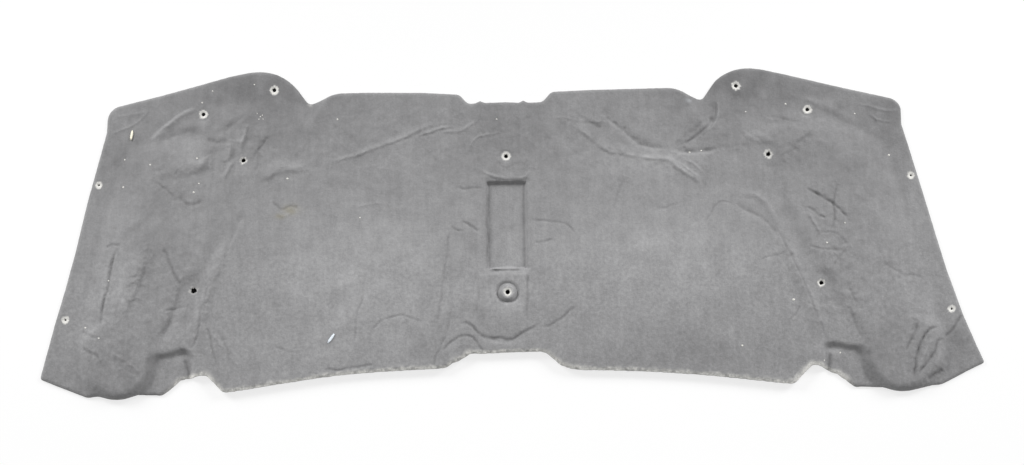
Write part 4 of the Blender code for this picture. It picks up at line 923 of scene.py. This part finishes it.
def undulation(points, loft):
    """Soft lumps of the worn felt, fainter on the pressed flange."""
    share = FLANGE_SHARE + (1 - FLANGE_SHARE) * smooth(loft / SOFT_SLOPE)
    lumps = SWELL * rough(points, SWELL_SCALE, seed=3.0) + RIPPLE * rough(points, RIPPLE_SCALE, seed=7.0)
    crumples = crumple_lines(points, 13.0) - crumple_lines(points, 17.0)
    return share * (lumps + CRUMPLE * crumple_share(points) * crumples)


def crumple_lines(points, seed):
    """Narrow lines where a noise passes through zero."""
    lines = 1 - CRUMPLE_NARROWNESS * np.abs(rough(points, CRUMPLE_SCALE, seed, octaves=3))
    return np.clip(lines, 0, 1) ** CRUMPLE_SHARPNESS


def crumple_share(points):
    """How crumpled the facing is: fully in the ears, wings and nose, hardly on the lower panel."""
    nose = smooth((points[:, 1] - CRUMPLE_NOSE[0]) / CRUMPLE_NOSE[1])
    wing = smooth((np.abs(points[:, 0]) - CRUMPLE_WING[0]) / CRUMPLE_WING[1])
    return PANEL_CRUMPLE + (1 - PANEL_CRUMPLE) * np.maximum(nose, wing)


def clip_height(points, height, name):
    """Height with the pressed seat of one clip, or the boss, and the funnel worn into its hole."""
    centre, seat, hole = SEATS[name]
    away = distance_from(points, centre)
    slope = hole.slope
    if name == "boss_clip":
        height = height - BOSS_GROOVE_DEPTH * ring_share(away, BOSS_FOOT_RADIUS, BOSS_GROOVE_WIDTH)
        slope = BOSS_FOOT_RADIUS - CLIP_SEAT_RADIUS
    height = seat + (height - seat) * smooth((away - CLIP_SEAT_RADIUS) / slope)
    height += hole.rim * ring_share(away, SEAT_RIM_RADIUS, SEAT_RIM_WIDTH)
    return height - CLIP_FUNNEL * (1 - smooth((away - hole.radius) / (hole.ring - hole.radius)))


def pad_height(points):
    """Height of the engine side over each point."""
    loft = depth(points, LOFT_LOOP)
    height = moulded_height(points, loft) + fold_height(points) + undulation(points, loft)
    height = RECESS_FLOOR + (height - RECESS_FLOOR) * recess_share(points)
    for name in SEATS:
        height = clip_height(points, height, name)
    lip = LIP_DROP * (1 - smooth(depth(points, OUTLINE) / LIP_WIDTH))
    return np.maximum(height, LEAST_THICKNESS) - lip


def worn_place(points):
    """Where the points lie once the worn pad's edges are off the mirror-symmetric outline."""
    x, y = points.T
    nose = smooth((y - NOSE_SHIFT_Y) / SHIFT_REACH) * np.interp(x, *table(NOSE_SHIFT))
    cowl = smooth((COWL_SHIFT_Y - y) / SHIFT_REACH) * np.interp(x, *table(COWL_SHIFT))
    side_shift = np.where(x < 0, np.interp(y, *table(LEFT_SHIFT)), np.interp(y, *table(RIGHT_SHIFT)))
    side = smooth((np.abs(x) - SIDE_SHIFT_X) / SHIFT_REACH) * side_shift
    return np.column_stack([x + side, y + nose + cowl - CENTRE_Y])


def table(pairs):
    """A list of pairs in millimetres as two rows in metres."""
    return np.array(pairs).T * MM


def ragged(loop):
    """The outline with the small raggedness of a cut felt edge, strongest along the cowl."""
    normal = right_normals(np.roll(loop, -1, axis=0) - np.roll(loop, 1, axis=0))
    amount = EDGE_RAG * (EDGE_RAG_ELSEWHERE + (1 - EDGE_RAG_ELSEWHERE) * cowl_side(loop))
    return loop + normal * (amount * rough(loop, EDGE_RAG_SCALE, seed=11.0, octaves=3))[:, None]


def right_normals(directions):
    """Unit vectors that point to the right of the directions."""
    normals = np.column_stack([directions[:, 1], -directions[:, 0]])
    return normals / np.linalg.norm(normals, axis=1)[:, None]


def cowl_side(points):
    """1 along the frayed cowl edge between the steps, 0 along the other edges."""
    cowl = smooth((FRAY_Y - points[:, 1]) / FRAY_Y_BLEND)
    return cowl * smooth((FRAY_X - np.abs(points[:, 0])) / FRAY_X_BLEND)


def hole_loop(centre, hole):
    """Edge of one clip hole, with its tears."""
    angles = np.arange(HOLE_SIDES) * 2 * math.pi / HOLE_SIDES
    spokes = np.column_stack([np.cos(angles), np.sin(angles)])
    reach = hole.radius * (1 + hole.tear * rough(spokes, HOLE_TEAR_SCALE, seed=centre[0] * 9))
    return np.array(centre) + spokes * reach[:, None]


def circle(centre, radius, sides):
    """Points of a circle round a centre."""
    angles = (np.arange(sides) + 0.5) * 2 * math.pi / sides
    return np.column_stack([centre[0] + radius * np.cos(angles), centre[1] + radius * np.sin(angles)])


def box_loop(centre, half_size, radius, step):
    """A rounded box in plan."""
    (x, y), (w, h) = centre, half_size
    corners = ((x + w, y + h), (x + w, y - h), (x - w, y - h), (x - w, y + h))
    return rounded_loop([(*corner, radius) for corner in corners], step)


def guide_loops():
    """Loops that the layout follows so that crisp shapes stay crisp."""
    loops = []
    for grow in (0.0, RECESS_WALL / 2, RECESS_WALL):
        half_size = (RECESS_HALF_WIDTH + grow, RECESS_LENGTH / 2 + grow)
        loops.append(box_loop(RECESS_CENTRE, half_size, RECESS_CORNER + grow, FINE_STEP))
    for name, (centre, _, _) in SEATS.items():
        radii = (CLIP_SEAT_RADIUS, BOSS_FOOT_RADIUS) if name == "boss_clip" else (CLIP_SEAT_RADIUS,)
        loops += [circle(centre, radius, round(2 * math.pi * radius / FINE_STEP)) for radius in radii]
    return loops


def fine_lines():
    """Points along everything that the layout resolves finely."""
    lines = [rounded_loop(mirrored(corners), COARSE_STEP) for corners in (outline_corners(), loft_corners())]
    for rise, _, course in FOLDS:
        if abs(rise) > FINE_FOLD:
            lines.append(open_path(np.array(course) * MM, COARSE_STEP))
    lines.append(box_loop(TONGUE_CENTRE, TONGUE_HALF_SIZE, FILLET, COARSE_STEP))
    return np.concatenate(lines + guide_loops())


def tree_of(points):
    """A search tree of flat points."""
    tree = KDTree(len(points))
    for i, (x, y) in enumerate(points):
        tree.insert((x, y, 0.0), i)
    tree.balance()
    return tree


def grid_points(fixed):
    """Points of a triangular grid, fine near the features and coarse elsewhere, clear of the fixed points."""
    fine, near_fixed = tree_of(fine_lines()), tree_of(fixed)
    width, height = OUTLINE.max(0)[0], np.abs(OUTLINE[:, 1]).max()
    rows = math.ceil(height / (FINE_STEP * TRIANGLE_HEIGHT))
    columns = math.ceil(width / FINE_STEP) + 1
    found = []
    for row in range(-rows, rows + 1):
        for column in range(-columns, columns + 1):
            x = (column + 0.5 * (row % 2)) * FINE_STEP
            y = row * FINE_STEP * TRIANGLE_HEIGHT
            coarse = row % 2 == 0 and (column + row // 2) % 2 == 0
            if coarse or fine.find((x, y, 0.0))[2] <= FINE_REACH:
                found.append((x, y))
    found = np.array(found)
    found = found[inside(found, OUTLINE)]
    clear = [near_fixed.find((x, y, 0.0))[2] > FINE_STEP * GRID_CLEARANCE for x, y in found]
    return found[clear]


def triangulated(loops, guides, grid):
    """Triangles between the first loop and the others: points, triangles and each loop's point numbers."""
    runs = loops + guides
    starts = np.cumsum([0] + [len(run) for run in runs])
    edges = []
    for start, run in zip(starts, runs):
        edges += [(int(start + i), int(start + (i + 1) % len(run))) for i in range(len(run))]
    points = np.concatenate(runs + [grid])
    rim = list(range(len(loops[0])))
    result = delaunay_2d_cdt([Vector(p) for p in points], edges, [rim], 1, MERGE_REACH)
    placed = {old: new for new, olds in enumerate(result[3]) for old in olds}
    numbers = [np.array([placed[start + i] for i in range(len(run))]) for start, run in zip(starts, loops)]
    flat = np.array([tuple(v) for v in result[0]])
    faces = np.array([f for f in result[2] if len(f) == 3])
    middles = flat[faces].mean(1)
    for loop in loops[1:]:
        near = distance_from(middles, loop.mean(0)) < 2 * CLIP_SEAT_RADIUS
        hole = np.zeros(len(faces), bool)
        hole[near] = inside(middles[near], loop)
        faces, middles = faces[~hole], middles[~hole]
    return flat, faces, numbers


def pad_arrays():
    """Vertices of the worn pad with their design places, and its faces."""
    rim = ragged(rounded_loop(mirrored(outline_corners()), OUTLINE_STEP))
    loops = [rim] + [hole_loop(centre, hole) for centre, _, hole in SEATS.values()]
    guides = guide_loops()
    grid = grid_points(np.concatenate(loops + guides))
    flat, faces, numbers = triangulated(loops, guides, grid)
    tops = pad_height(flat)
    places = worn_place(flat)
    verts = [np.column_stack([places, tops])]
    design = [flat]
    quads = []
    rings = []
    count = len(flat)
    for k, number in enumerate(numbers):
        mid, low = wall_runs(places[number], is_rim=k == 0)
        mid_height = tops[number] * (EDGE_MIDDLE if k == 0 else HOLE_RIM_SHARE)
        verts += [np.column_stack([mid, mid_height]), np.column_stack([low, np.zeros(len(low))])]
        design += [flat[number], flat[number]]
        mid_numbers = count + np.arange(len(mid))
        low_numbers = mid_numbers + len(mid)
        quads += strip(number, mid_numbers) + strip(mid_numbers, low_numbers)
        rings.append((low, low_numbers))
        count += 2 * len(mid)
    back_faces = back_arrays(rings, count, verts, design)
    return np.concatenate(verts), np.concatenate(design), faces, quads, back_faces


def wall_runs(edge, is_rim):
    """The middle and the low run of a wall below its top edge, at the rim or in a hole."""
    if is_rim:
        bulge = right_normals(edge - np.roll(edge, 1, axis=0)) * side_sign(edge) * EDGE_BULGE
        return edge + bulge, edge - bulge
    heart = edge.mean(0)
    return heart + (edge - heart) * (1 + HOLE_TAPER) / 2, heart + (edge - heart) * HOLE_TAPER


def side_sign(loop):
    """1 for a loop that runs anticlockwise, where the right-hand normal points out, and -1 otherwise."""
    x, y = loop.T
    return math.copysign(1.0, (x * np.roll(y, -1) - y * np.roll(x, -1)).sum())


def strip(upper, lower):
    """Quads between two closed runs of vertex numbers."""
    return [(int(a), int(b), int(c), int(d))
            for a, b, c, d in zip(upper, np.roll(upper, -1), np.roll(lower, -1), lower)]


def back_arrays(rings, count, verts, design):
    """The flat back: adds its inner vertices, and gives its triangles."""
    loops = [low for low, _ in rings]
    low, high = loops[0].min(0), loops[0].max(0)
    xs, ys = np.arange(low[0], high[0], BACK_STEP), np.arange(low[1], high[1], BACK_STEP)
    grid = np.array([(x, y) for x in xs for y in ys])
    grid = grid[depth(grid, loops[0]) > BACK_STEP / 4]
    for loop in loops[1:]:
        grid = grid[distance_from(grid, loop.mean(0)) > CLIP_SEAT_RADIUS]
    flat, faces, numbers = triangulated(loops, [], grid)
    joined = np.full(len(flat), -1)
    for number, (_, ring_numbers) in zip(numbers, rings):
        joined[number] = ring_numbers
    inner = np.nonzero(joined < 0)[0]
    joined[inner] = count + np.arange(len(inner))
    verts.append(np.column_stack([flat[inner], np.zeros(len(inner))]))
    design.append(flat[inner] + (0, CENTRE_Y))
    return joined[faces]


def blob(points, centre, reach):
    """A soft spot: 1 at its centre, near 0 past its reach."""
    away = (points - np.array(centre) * MM) / (np.array(reach) * MM)
    return np.exp(-(away ** 2).sum(1))


def pale_mask(points):
    """How much pale felt fibre shows: along the cut edges and round the clip holes."""
    edge = depth(points, OUTLINE)
    wander = 1 + PALE_WANDER * rough(points, PALE_WANDER_SCALE, seed=21.0)
    cowl = cowl_side(points)
    reach = (EDGE_PALE_REACH + (COWL_PALE_REACH - EDGE_PALE_REACH) * cowl) * wander
    patches = 1 + COWL_PATCHES * rough(points, COWL_DASH_SCALE, seed=91.0)
    strength = EDGE_PALE + (COWL_PALE * patches - EDGE_PALE) * cowl
    mask = strength * (1 - smooth(edge / np.maximum(reach, LEAST_REACH)))
    near_edge = 1 - smooth(edge / (PALE_SPOT_DEPTH * wander))
    for amount, centre, size in PALE_SPOTS.values():
        spot = smooth(PALE_SPOT_FULL * blob(points, centre, (size, size)))
        mask = np.maximum(mask, amount * spot * near_edge)
    for centre, _, hole in SEATS.values():
        away = distance_from(points, centre)
        near = away < 3 * hole.ring
        wander = 1 + (RING_WANDER + hole.tear) * rough(points[near], RING_WANDER_SCALE, seed=31.0)
        ring = 1 - smooth((away[near] / wander - hole.ring) / RING_FADE + 0.5)
        mask[near] = np.maximum(mask[near], hole.pale * ring)
    return mask


def tone_values(points):
    """Wear, fading, dirt and painted shade and light: brightness of the facing against its plain colour."""
    tone = np.ones(len(points))
    uneven = 1 + TONE_WANDER * rough(points, TONE_WANDER_SCALE, seed=71.0)
    for change, centre, reach in TONES.values():
        tone += change * blob(points, centre, reach) * uneven
    in_recess = 1 - smooth(recess_share(points) * 2)
    boss = distance_from(points, SEATS["boss_clip"][0])
    # Painted shade in the groove round the boss
    tone *= 1 - BOSS_GROOVE_SHADE * ring_share(boss, BOSS_FOOT_RADIUS, BOSS_GROOVE_WIDTH)
    return tone * (1 + RECESS_FADE * in_recess) * (1 + crease_tone(points)) * (1 - cowl_dirt(points))


def cowl_dirt(points):
    """How dark the dirty dashes in the frayed cowl edge are."""
    dashes = smooth((rough(points, COWL_DASH_SCALE, seed=81.0) - COWL_DASH_FROM) / COWL_DASH_BLEND)
    return COWL_DASH * dashes * cowl_side(points) * (1 - smooth(depth(points, OUTLINE) / COWL_DASH_REACH))


def mark_mask(points, mark):
    """Strength of the stain or the scuff, with rough edges."""
    spots = np.max([blob(points, centre, reach) for centre, reach in mark.spots], axis=0)
    return np.clip(spots * (1 + mark.uneven * rough(points, mark.scale, mark.seed)), 0, 1)


def add_attribute(mesh, name, values):
    """A number on each vertex, which the material reads by name."""
    mesh.attributes.new(name, "FLOAT", "POINT").data.foreach_set("value", values.astype(np.float32))


def make_pad():
    """The worn pad as one closed mesh."""
    verts, design, faces, quads, back_faces = pad_arrays()
    mesh = bpy.data.meshes.new("worn_pad")
    mesh.from_pydata([tuple(v) for v in verts], [], faces.tolist() + quads + back_faces.tolist())
    bm = bmesh.new()
    bm.from_mesh(mesh)
    bmesh.ops.recalc_face_normals(bm, faces=bm.faces)
    bm.to_mesh(mesh)
    bm.free()
    pale, tone = pale_mask(design), tone_values(design)
    lower = np.arange(len(verts)) > faces.max()
    pale[lower] = WALL_PALE_ELSEWHERE + (WALL_PALE - WALL_PALE_ELSEWHERE) * cowl_side(design[lower])
    # Painted shade: the walls of the clip holes are darkened to each hole's wall value
    for centre, _, hole in SEATS.values():
        wall = lower & (distance_from(design, centre) < CLIP_HOLE_RADIUS * HOLE_WALL_REACH)
        pale[wall] = max(0.0, hole.wall * 2 - 1)
        tone[wall] = hole.wall
    add_attribute(mesh, "pale", pale)
    add_attribute(mesh, "tone", tone)
    add_attribute(mesh, "nap", NOSE_NAP + (1 - NOSE_NAP) * smooth((NAP_Y - design[:, 1]) / NAP_BLEND))
    for name, mark in MARKS.items():
        add_attribute(mesh, name, mark_mask(design, mark))
    mesh.shade_smooth()
    mesh.set_sharp_from_angle(angle=SHARP_ANGLE)
    mesh.materials.append(facing_material())
    return linked("worn_pad", mesh)


def linked(name, data):
    """A new object in the scene that shows some data."""
    made = bpy.data.objects.new(name, data)
    bpy.context.scene.collection.objects.link(made)
    return made


def add_node(tree, kind, **settings):
    """A shader node with its settings."""
    made = tree.nodes.new(kind)
    for name, value in settings.items():
        setattr(made, name, value)
    return made


def feed(tree, socket, source):
    """Give a socket a plain value or the output of another node."""
    if isinstance(source, bpy.types.NodeSocket):
        tree.links.new(source, socket)
    else:
        socket.default_value = source


def feed_all(tree, made, **sources):
    """Feed a node's sockets by their names."""
    for name, source in sources.items():
        feed(tree, made.inputs[name], source)


def arithmetic(tree, operation, *terms, clamp=False):
    """One Math node."""
    made = add_node(tree, "ShaderNodeMath", operation=operation, use_clamp=clamp)
    for socket, term in zip(made.inputs, terms):
        feed(tree, socket, term)
    return made.outputs[0]


def attribute(tree, name):
    """The number that the mesh carries under a name."""
    return add_node(tree, "ShaderNodeAttribute", attribute_name=name).outputs["Fac"]


def grain(tree, scale, detail, stretch):
    """Noise over the object's own coordinates, from 0 to 1."""
    place = add_node(tree, "ShaderNodeTexCoord").outputs["Object"]
    mapping = add_node(tree, "ShaderNodeMapping")
    feed_all(tree, mapping, Vector=place, Scale=stretch)
    texture = add_node(tree, "ShaderNodeTexNoise")
    feed_all(tree, texture, Vector=mapping.outputs[0], Scale=scale, Detail=detail, Roughness=GRAIN_ROUGHNESS)
    return texture.outputs["Fac"]


def varied(tree, value, source, amount):
    """A value times one plus the source's swing about its middle."""
    swing = arithmetic(tree, "MULTIPLY_ADD", source, amount, 1 - amount / 2)
    return arithmetic(tree, "MULTIPLY", value, swing)


def shaded(tree, colour, brightness):
    """A colour scaled by a brightness."""
    made = add_node(tree, "ShaderNodeVectorMath", operation="SCALE")
    feed(tree, made.inputs[0], colour)
    feed(tree, made.inputs["Scale"], brightness)
    return made.outputs[0]


def blended(tree, share, first, second):
    """Two colours mixed by a share."""
    made = add_node(tree, "ShaderNodeMix", data_type="RGBA")
    for number, source in ((0, share), (6, first), (7, second)):
        feed(tree, made.inputs[number], source)
    return made.outputs[2]


def new_material(name, specular):
    """A material with a matte Principled shader: the material, its tree and the shader."""
    material = bpy.data.materials.new(name)
    material.use_nodes = True
    shader = material.node_tree.nodes["Principled BSDF"]
    shader.inputs["Metallic"].default_value = 0.0
    shader.inputs["Specular IOR Level"].default_value = specular
    return material, material.node_tree, shader


def facing_material():
    """Faded grey nonwoven facing, with pale felt fibre where it is torn or cut."""
    material, tree, shader = new_material("felt_facing", FACING_SPECULAR)
    grains = {name: grain(tree, *settings[:3]) for name, settings in GRAINS.items()}
    fibres, pepper, mottle = grains["fibres"], grains["pepper"], grains["mottle"]
    swing = arithmetic(tree, "SUBTRACT", mottle, 0.5)
    grains["mottle"] = arithmetic(tree, "MULTIPLY_ADD", swing, attribute(tree, "nap"), 0.5)
    # The tone carries wear, fading, dirt and painted shade and light
    brightness = attribute(tree, "tone")
    for name, source in grains.items():
        brightness = varied(tree, brightness, source, GRAINS[name][3])
    facing = shaded(tree, FACING_COLOUR, brightness)
    fibre = shaded(tree, FIBRE_COLOUR, varied(tree, 1.0, fibres, FIBRE_SWING))
    pale = attribute(tree, "pale")
    torn = arithmetic(tree, "MULTIPLY", arithmetic(tree, "SUBTRACT", pepper, 0.5), PEPPER_TEAR)
    colour = blended(tree, arithmetic(tree, "MULTIPLY_ADD", torn, pale, pale, clamp=True), facing, fibre)
    for name, mark in MARKS.items():
        share = arithmetic(tree, "MULTIPLY", attribute(tree, name), mark.strength, clamp=True)
        colour = blended(tree, share, colour, mark.colour)
    roughness = varied(tree, FACING_ROUGHNESS, mottle, ROUGHNESS_SWING)
    relief = arithmetic(tree, "ADD", fibres, grains["cross_fibres"])
    relief = arithmetic(tree, "MULTIPLY_ADD", mottle, MOTTLE_RELIEF, relief)
    bump = add_node(tree, "ShaderNodeBump")
    feed_all(tree, bump, Strength=BUMP_STRENGTH, Distance=BUMP_DEPTH, Height=relief)
    feed_all(tree, shader, **{"Base Color": colour, "Roughness": roughness, "Normal": bump.outputs[0]})
    return material


def plain_material(name, colour, variation, roughness):
    """A matte material with a fine mottle."""
    material, tree, shader = new_material(name, PLAIN_SPECULAR)
    mottle = grain(tree, PLAIN_GRAIN_SCALE, PLAIN_GRAIN_DETAIL, PLAIN)
    feed(tree, shader.inputs["Base Color"], shaded(tree, colour, varied(tree, 1.0, mottle, variation)))
    feed(tree, shader.inputs["Roughness"], varied(tree, roughness, mottle, ROUGHNESS_SWING))
    return material


def height_finder(pad):
    """A function that gives the pad's top height at a place in the row frame."""

    def height(x, y):
        hit, place, _, _ = pad.ray_cast(Vector((x, y, 1.0)), Vector((0, 0, -1)))
        return place.z if hit else 0.0

    return height


def make_lint(height):
    """Specks of lint caught in the facing: small uneven tufts, joined in one mesh."""
    bm = bmesh.new()
    for number, (x, y, radius) in enumerate(LINT):
        place = worn_place(np.array([[x * MM, y * MM]]))[0]
        spot = Matrix.Translation((place[0], place[1], height(*place)))
        made = bmesh.ops.create_icosphere(bm, subdivisions=2, radius=radius * MM, matrix=spot)
        for vert in made["verts"]:
            away = vert.co - spot.translation
            stretch = 1 + LINT_UNEVEN * noise.noise(away * LINT_UNEVEN_SCALE + Vector((number, 0, 0)))
            vert.co = spot.translation + Vector((away.x * stretch, away.y * stretch, away.z * LINT_FLATNESS))
    felt = plain_material("lint", LINT_COLOUR, variation=0.3, roughness=0.9)
    return finished_piece(bm, "lint_specks", felt)


def make_sliver(name, colour, size, ends, height):
    """A slim piece that lies on the facing."""
    bm = bmesh.new()
    start, end = (worn_place(np.array([p]) * MM)[0] for p in ends)
    middle = (start + end) / 2
    along = Vector((*(end - start), 0.0))
    turn = along.to_track_quat("X", "Z").to_matrix().to_4x4()
    turn = Matrix.Translation((*middle, height(*middle) + size[1] / 2)) @ turn
    bmesh.ops.create_cube(bm, size=1.0)
    bmesh.ops.subdivide_edges(bm, edges=bm.edges, cuts=SLIVER_CUTS, use_grid_fill=True)
    for vert in bm.verts:
        taper = 1 - SLIVER_TAPER * abs(vert.co.x * 2) ** 3
        wobble = SLIVER_WOBBLE * noise.noise(vert.co * SLIVER_WOBBLE_SCALE)
        across = (vert.co.y + wobble) * size[0] * taper
        vert.co = turn @ Vector((vert.co.x * along.length, across, (vert.co.z + wobble) * size[1]))
    return finished_piece(bm, name, plain_material(name, colour, variation=0.25, roughness=0.7))


def finished_piece(bm, name, material):
    """An object from a bmesh, shaded smooth."""
    mesh = bpy.data.meshes.new(name)
    bm.to_mesh(mesh)
    bm.free()
    mesh.shade_smooth()
    mesh.materials.append(material)
    return linked(name, mesh)


def make_floor():
    """The plain white surface under the pad, which the camera sees lightened so that shadows stay faint."""
    mesh = bpy.data.meshes.new("floor")
    low, high = -FLOOR_HALF_SIZE, FLOOR_HALF_SIZE
    corners = ((low, low), (high, low), (high, high), (low, high))
    mesh.from_pydata([(x, y, FLOOR_Z) for x, y in corners], [], [(0, 1, 2, 3)])
    material = bpy.data.materials.new("floor")
    material.use_nodes = True
    tree = material.node_tree
    tree.nodes.clear()
    diffuse = add_node(tree, "ShaderNodeBsdfDiffuse")
    diffuse.inputs["Color"].default_value = FLOOR_COLOUR
    white = add_node(tree, "ShaderNodeEmission")
    seen = add_node(tree, "ShaderNodeLightPath").outputs["Is Camera Ray"]
    mixed = add_node(tree, "ShaderNodeMixShader")
    feed(tree, mixed.inputs["Fac"], arithmetic(tree, "MULTIPLY", seen, FLOOR_GLOW))
    tree.links.new(diffuse.outputs[0], mixed.inputs[1])
    tree.links.new(white.outputs[0], mixed.inputs[2])
    output = add_node(tree, "ShaderNodeOutputMaterial")
    tree.links.new(mixed.outputs[0], output.inputs["Surface"])
    mesh.materials.append(material)
    floor = linked("floor", mesh)


def make_shades():
    """Dark discs under the clip holes, so that no bright floor shows through them."""
    bm = bmesh.new()
    for centre, _, _ in SEATS.values():
        rim = worn_place(circle(centre, CLIP_SEAT_RADIUS, HOLE_SIDES))
        bm.faces.new([bm.verts.new((x, y, SHADE_Z)) for x, y in rim])
    dark = plain_material("shade", SHADE_COLOUR, variation=0.1, roughness=0.9)
    shades = finished_piece(bm, "shades", dark)


def make_world():
    """Even white sky light, which the camera and glossy surfaces see as plain white."""
    world = bpy.data.worlds.new("studio")
    world.use_nodes = True
    tree = world.node_tree
    tree.nodes.clear()
    path = add_node(tree, "ShaderNodeLightPath")
    seen = arithmetic(tree, "MAXIMUM", path.outputs["Is Camera Ray"], path.outputs["Is Glossy Ray"])
    seen = arithmetic(tree, "MAXIMUM", seen, path.outputs["Is Transmission Ray"])
    strength = arithmetic(tree, "MULTIPLY_ADD", seen, 1 - SKY_STRENGTH, SKY_STRENGTH)
    background = add_node(tree, "ShaderNodeBackground")
    background.inputs["Color"].default_value = (1, 1, 1, 1)
    feed(tree, background.inputs["Strength"], strength)
    output = add_node(tree, "ShaderNodeOutputWorld")
    tree.links.new(background.outputs[0], output.inputs["Surface"])
    bpy.context.scene.world = world


def make_lamps():
    """Two low soft boxes out to the sides, each of which lights its own half the most."""
    for side in (-1, 1):
        light = bpy.data.lights.new("soft_box", "AREA")
        light.shape = "SQUARE"
        light.size = LAMP_SIZE
        light.spread = LAMP_SPREAD
        light.energy = LAMP_POWER
        lamp = linked("soft_box", light)
        lamp.visible_camera = False
        place, aim = (Vector((side * x, y, z)) for x, y, z in (LAMP_PLACE, LAMP_AIM))
        lamp.location = place
        lamp.rotation_euler = (aim - place).to_track_quat("-Z", "Y").to_euler()


def make_camera():
    """The photograph's view: almost straight down, from the cowl side."""
    camera = bpy.data.cameras.new("camera")
    camera.lens = LENS
    camera.sensor_width = SENSOR
    right = Vector((math.cos(CAMERA_TURN), -math.sin(CAMERA_TURN), 0.0))
    level = Vector((-math.sin(CAMERA_TURN), -math.cos(CAMERA_TURN), 0.0))
    back = level * math.cos(CAMERA_ELEVATION) + Vector((0, 0, math.sin(CAMERA_ELEVATION)))
    up = back.cross(right)
    eye = linked("camera", camera)
    turn = Matrix((right, up, back)).transposed().to_4x4()
    eye.matrix_world = Matrix.Translation(Vector(CAMERA_TARGET) + back * CAMERA_DISTANCE) @ turn
    bpy.context.scene.camera = eye


OUTLINE = rounded_loop(mirrored(outline_corners()), LOOP_STEP)
LOFT_LOOP = rounded_loop(mirrored(loft_corners()), LOOP_STEP)
WING_AREA = wing_area()
CENTRE_Y = (OUTLINE[:, 1].max() + OUTLINE[:, 1].min()) / 2
SEATS = clip_seats()

worn_pad = make_pad()
top_height = height_finder(worn_pad)
pieces = [worn_pad, make_lint(top_height)] + [make_sliver(*sliver, top_height) for sliver in SLIVERS]
for piece in pieces:
    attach(piece, "root")
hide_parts("insulation_pad")
make_floor()
make_shades()
make_world()
make_lamps()
make_camera()
bpy.context.scene.view_settings.view_transform = "Standard"
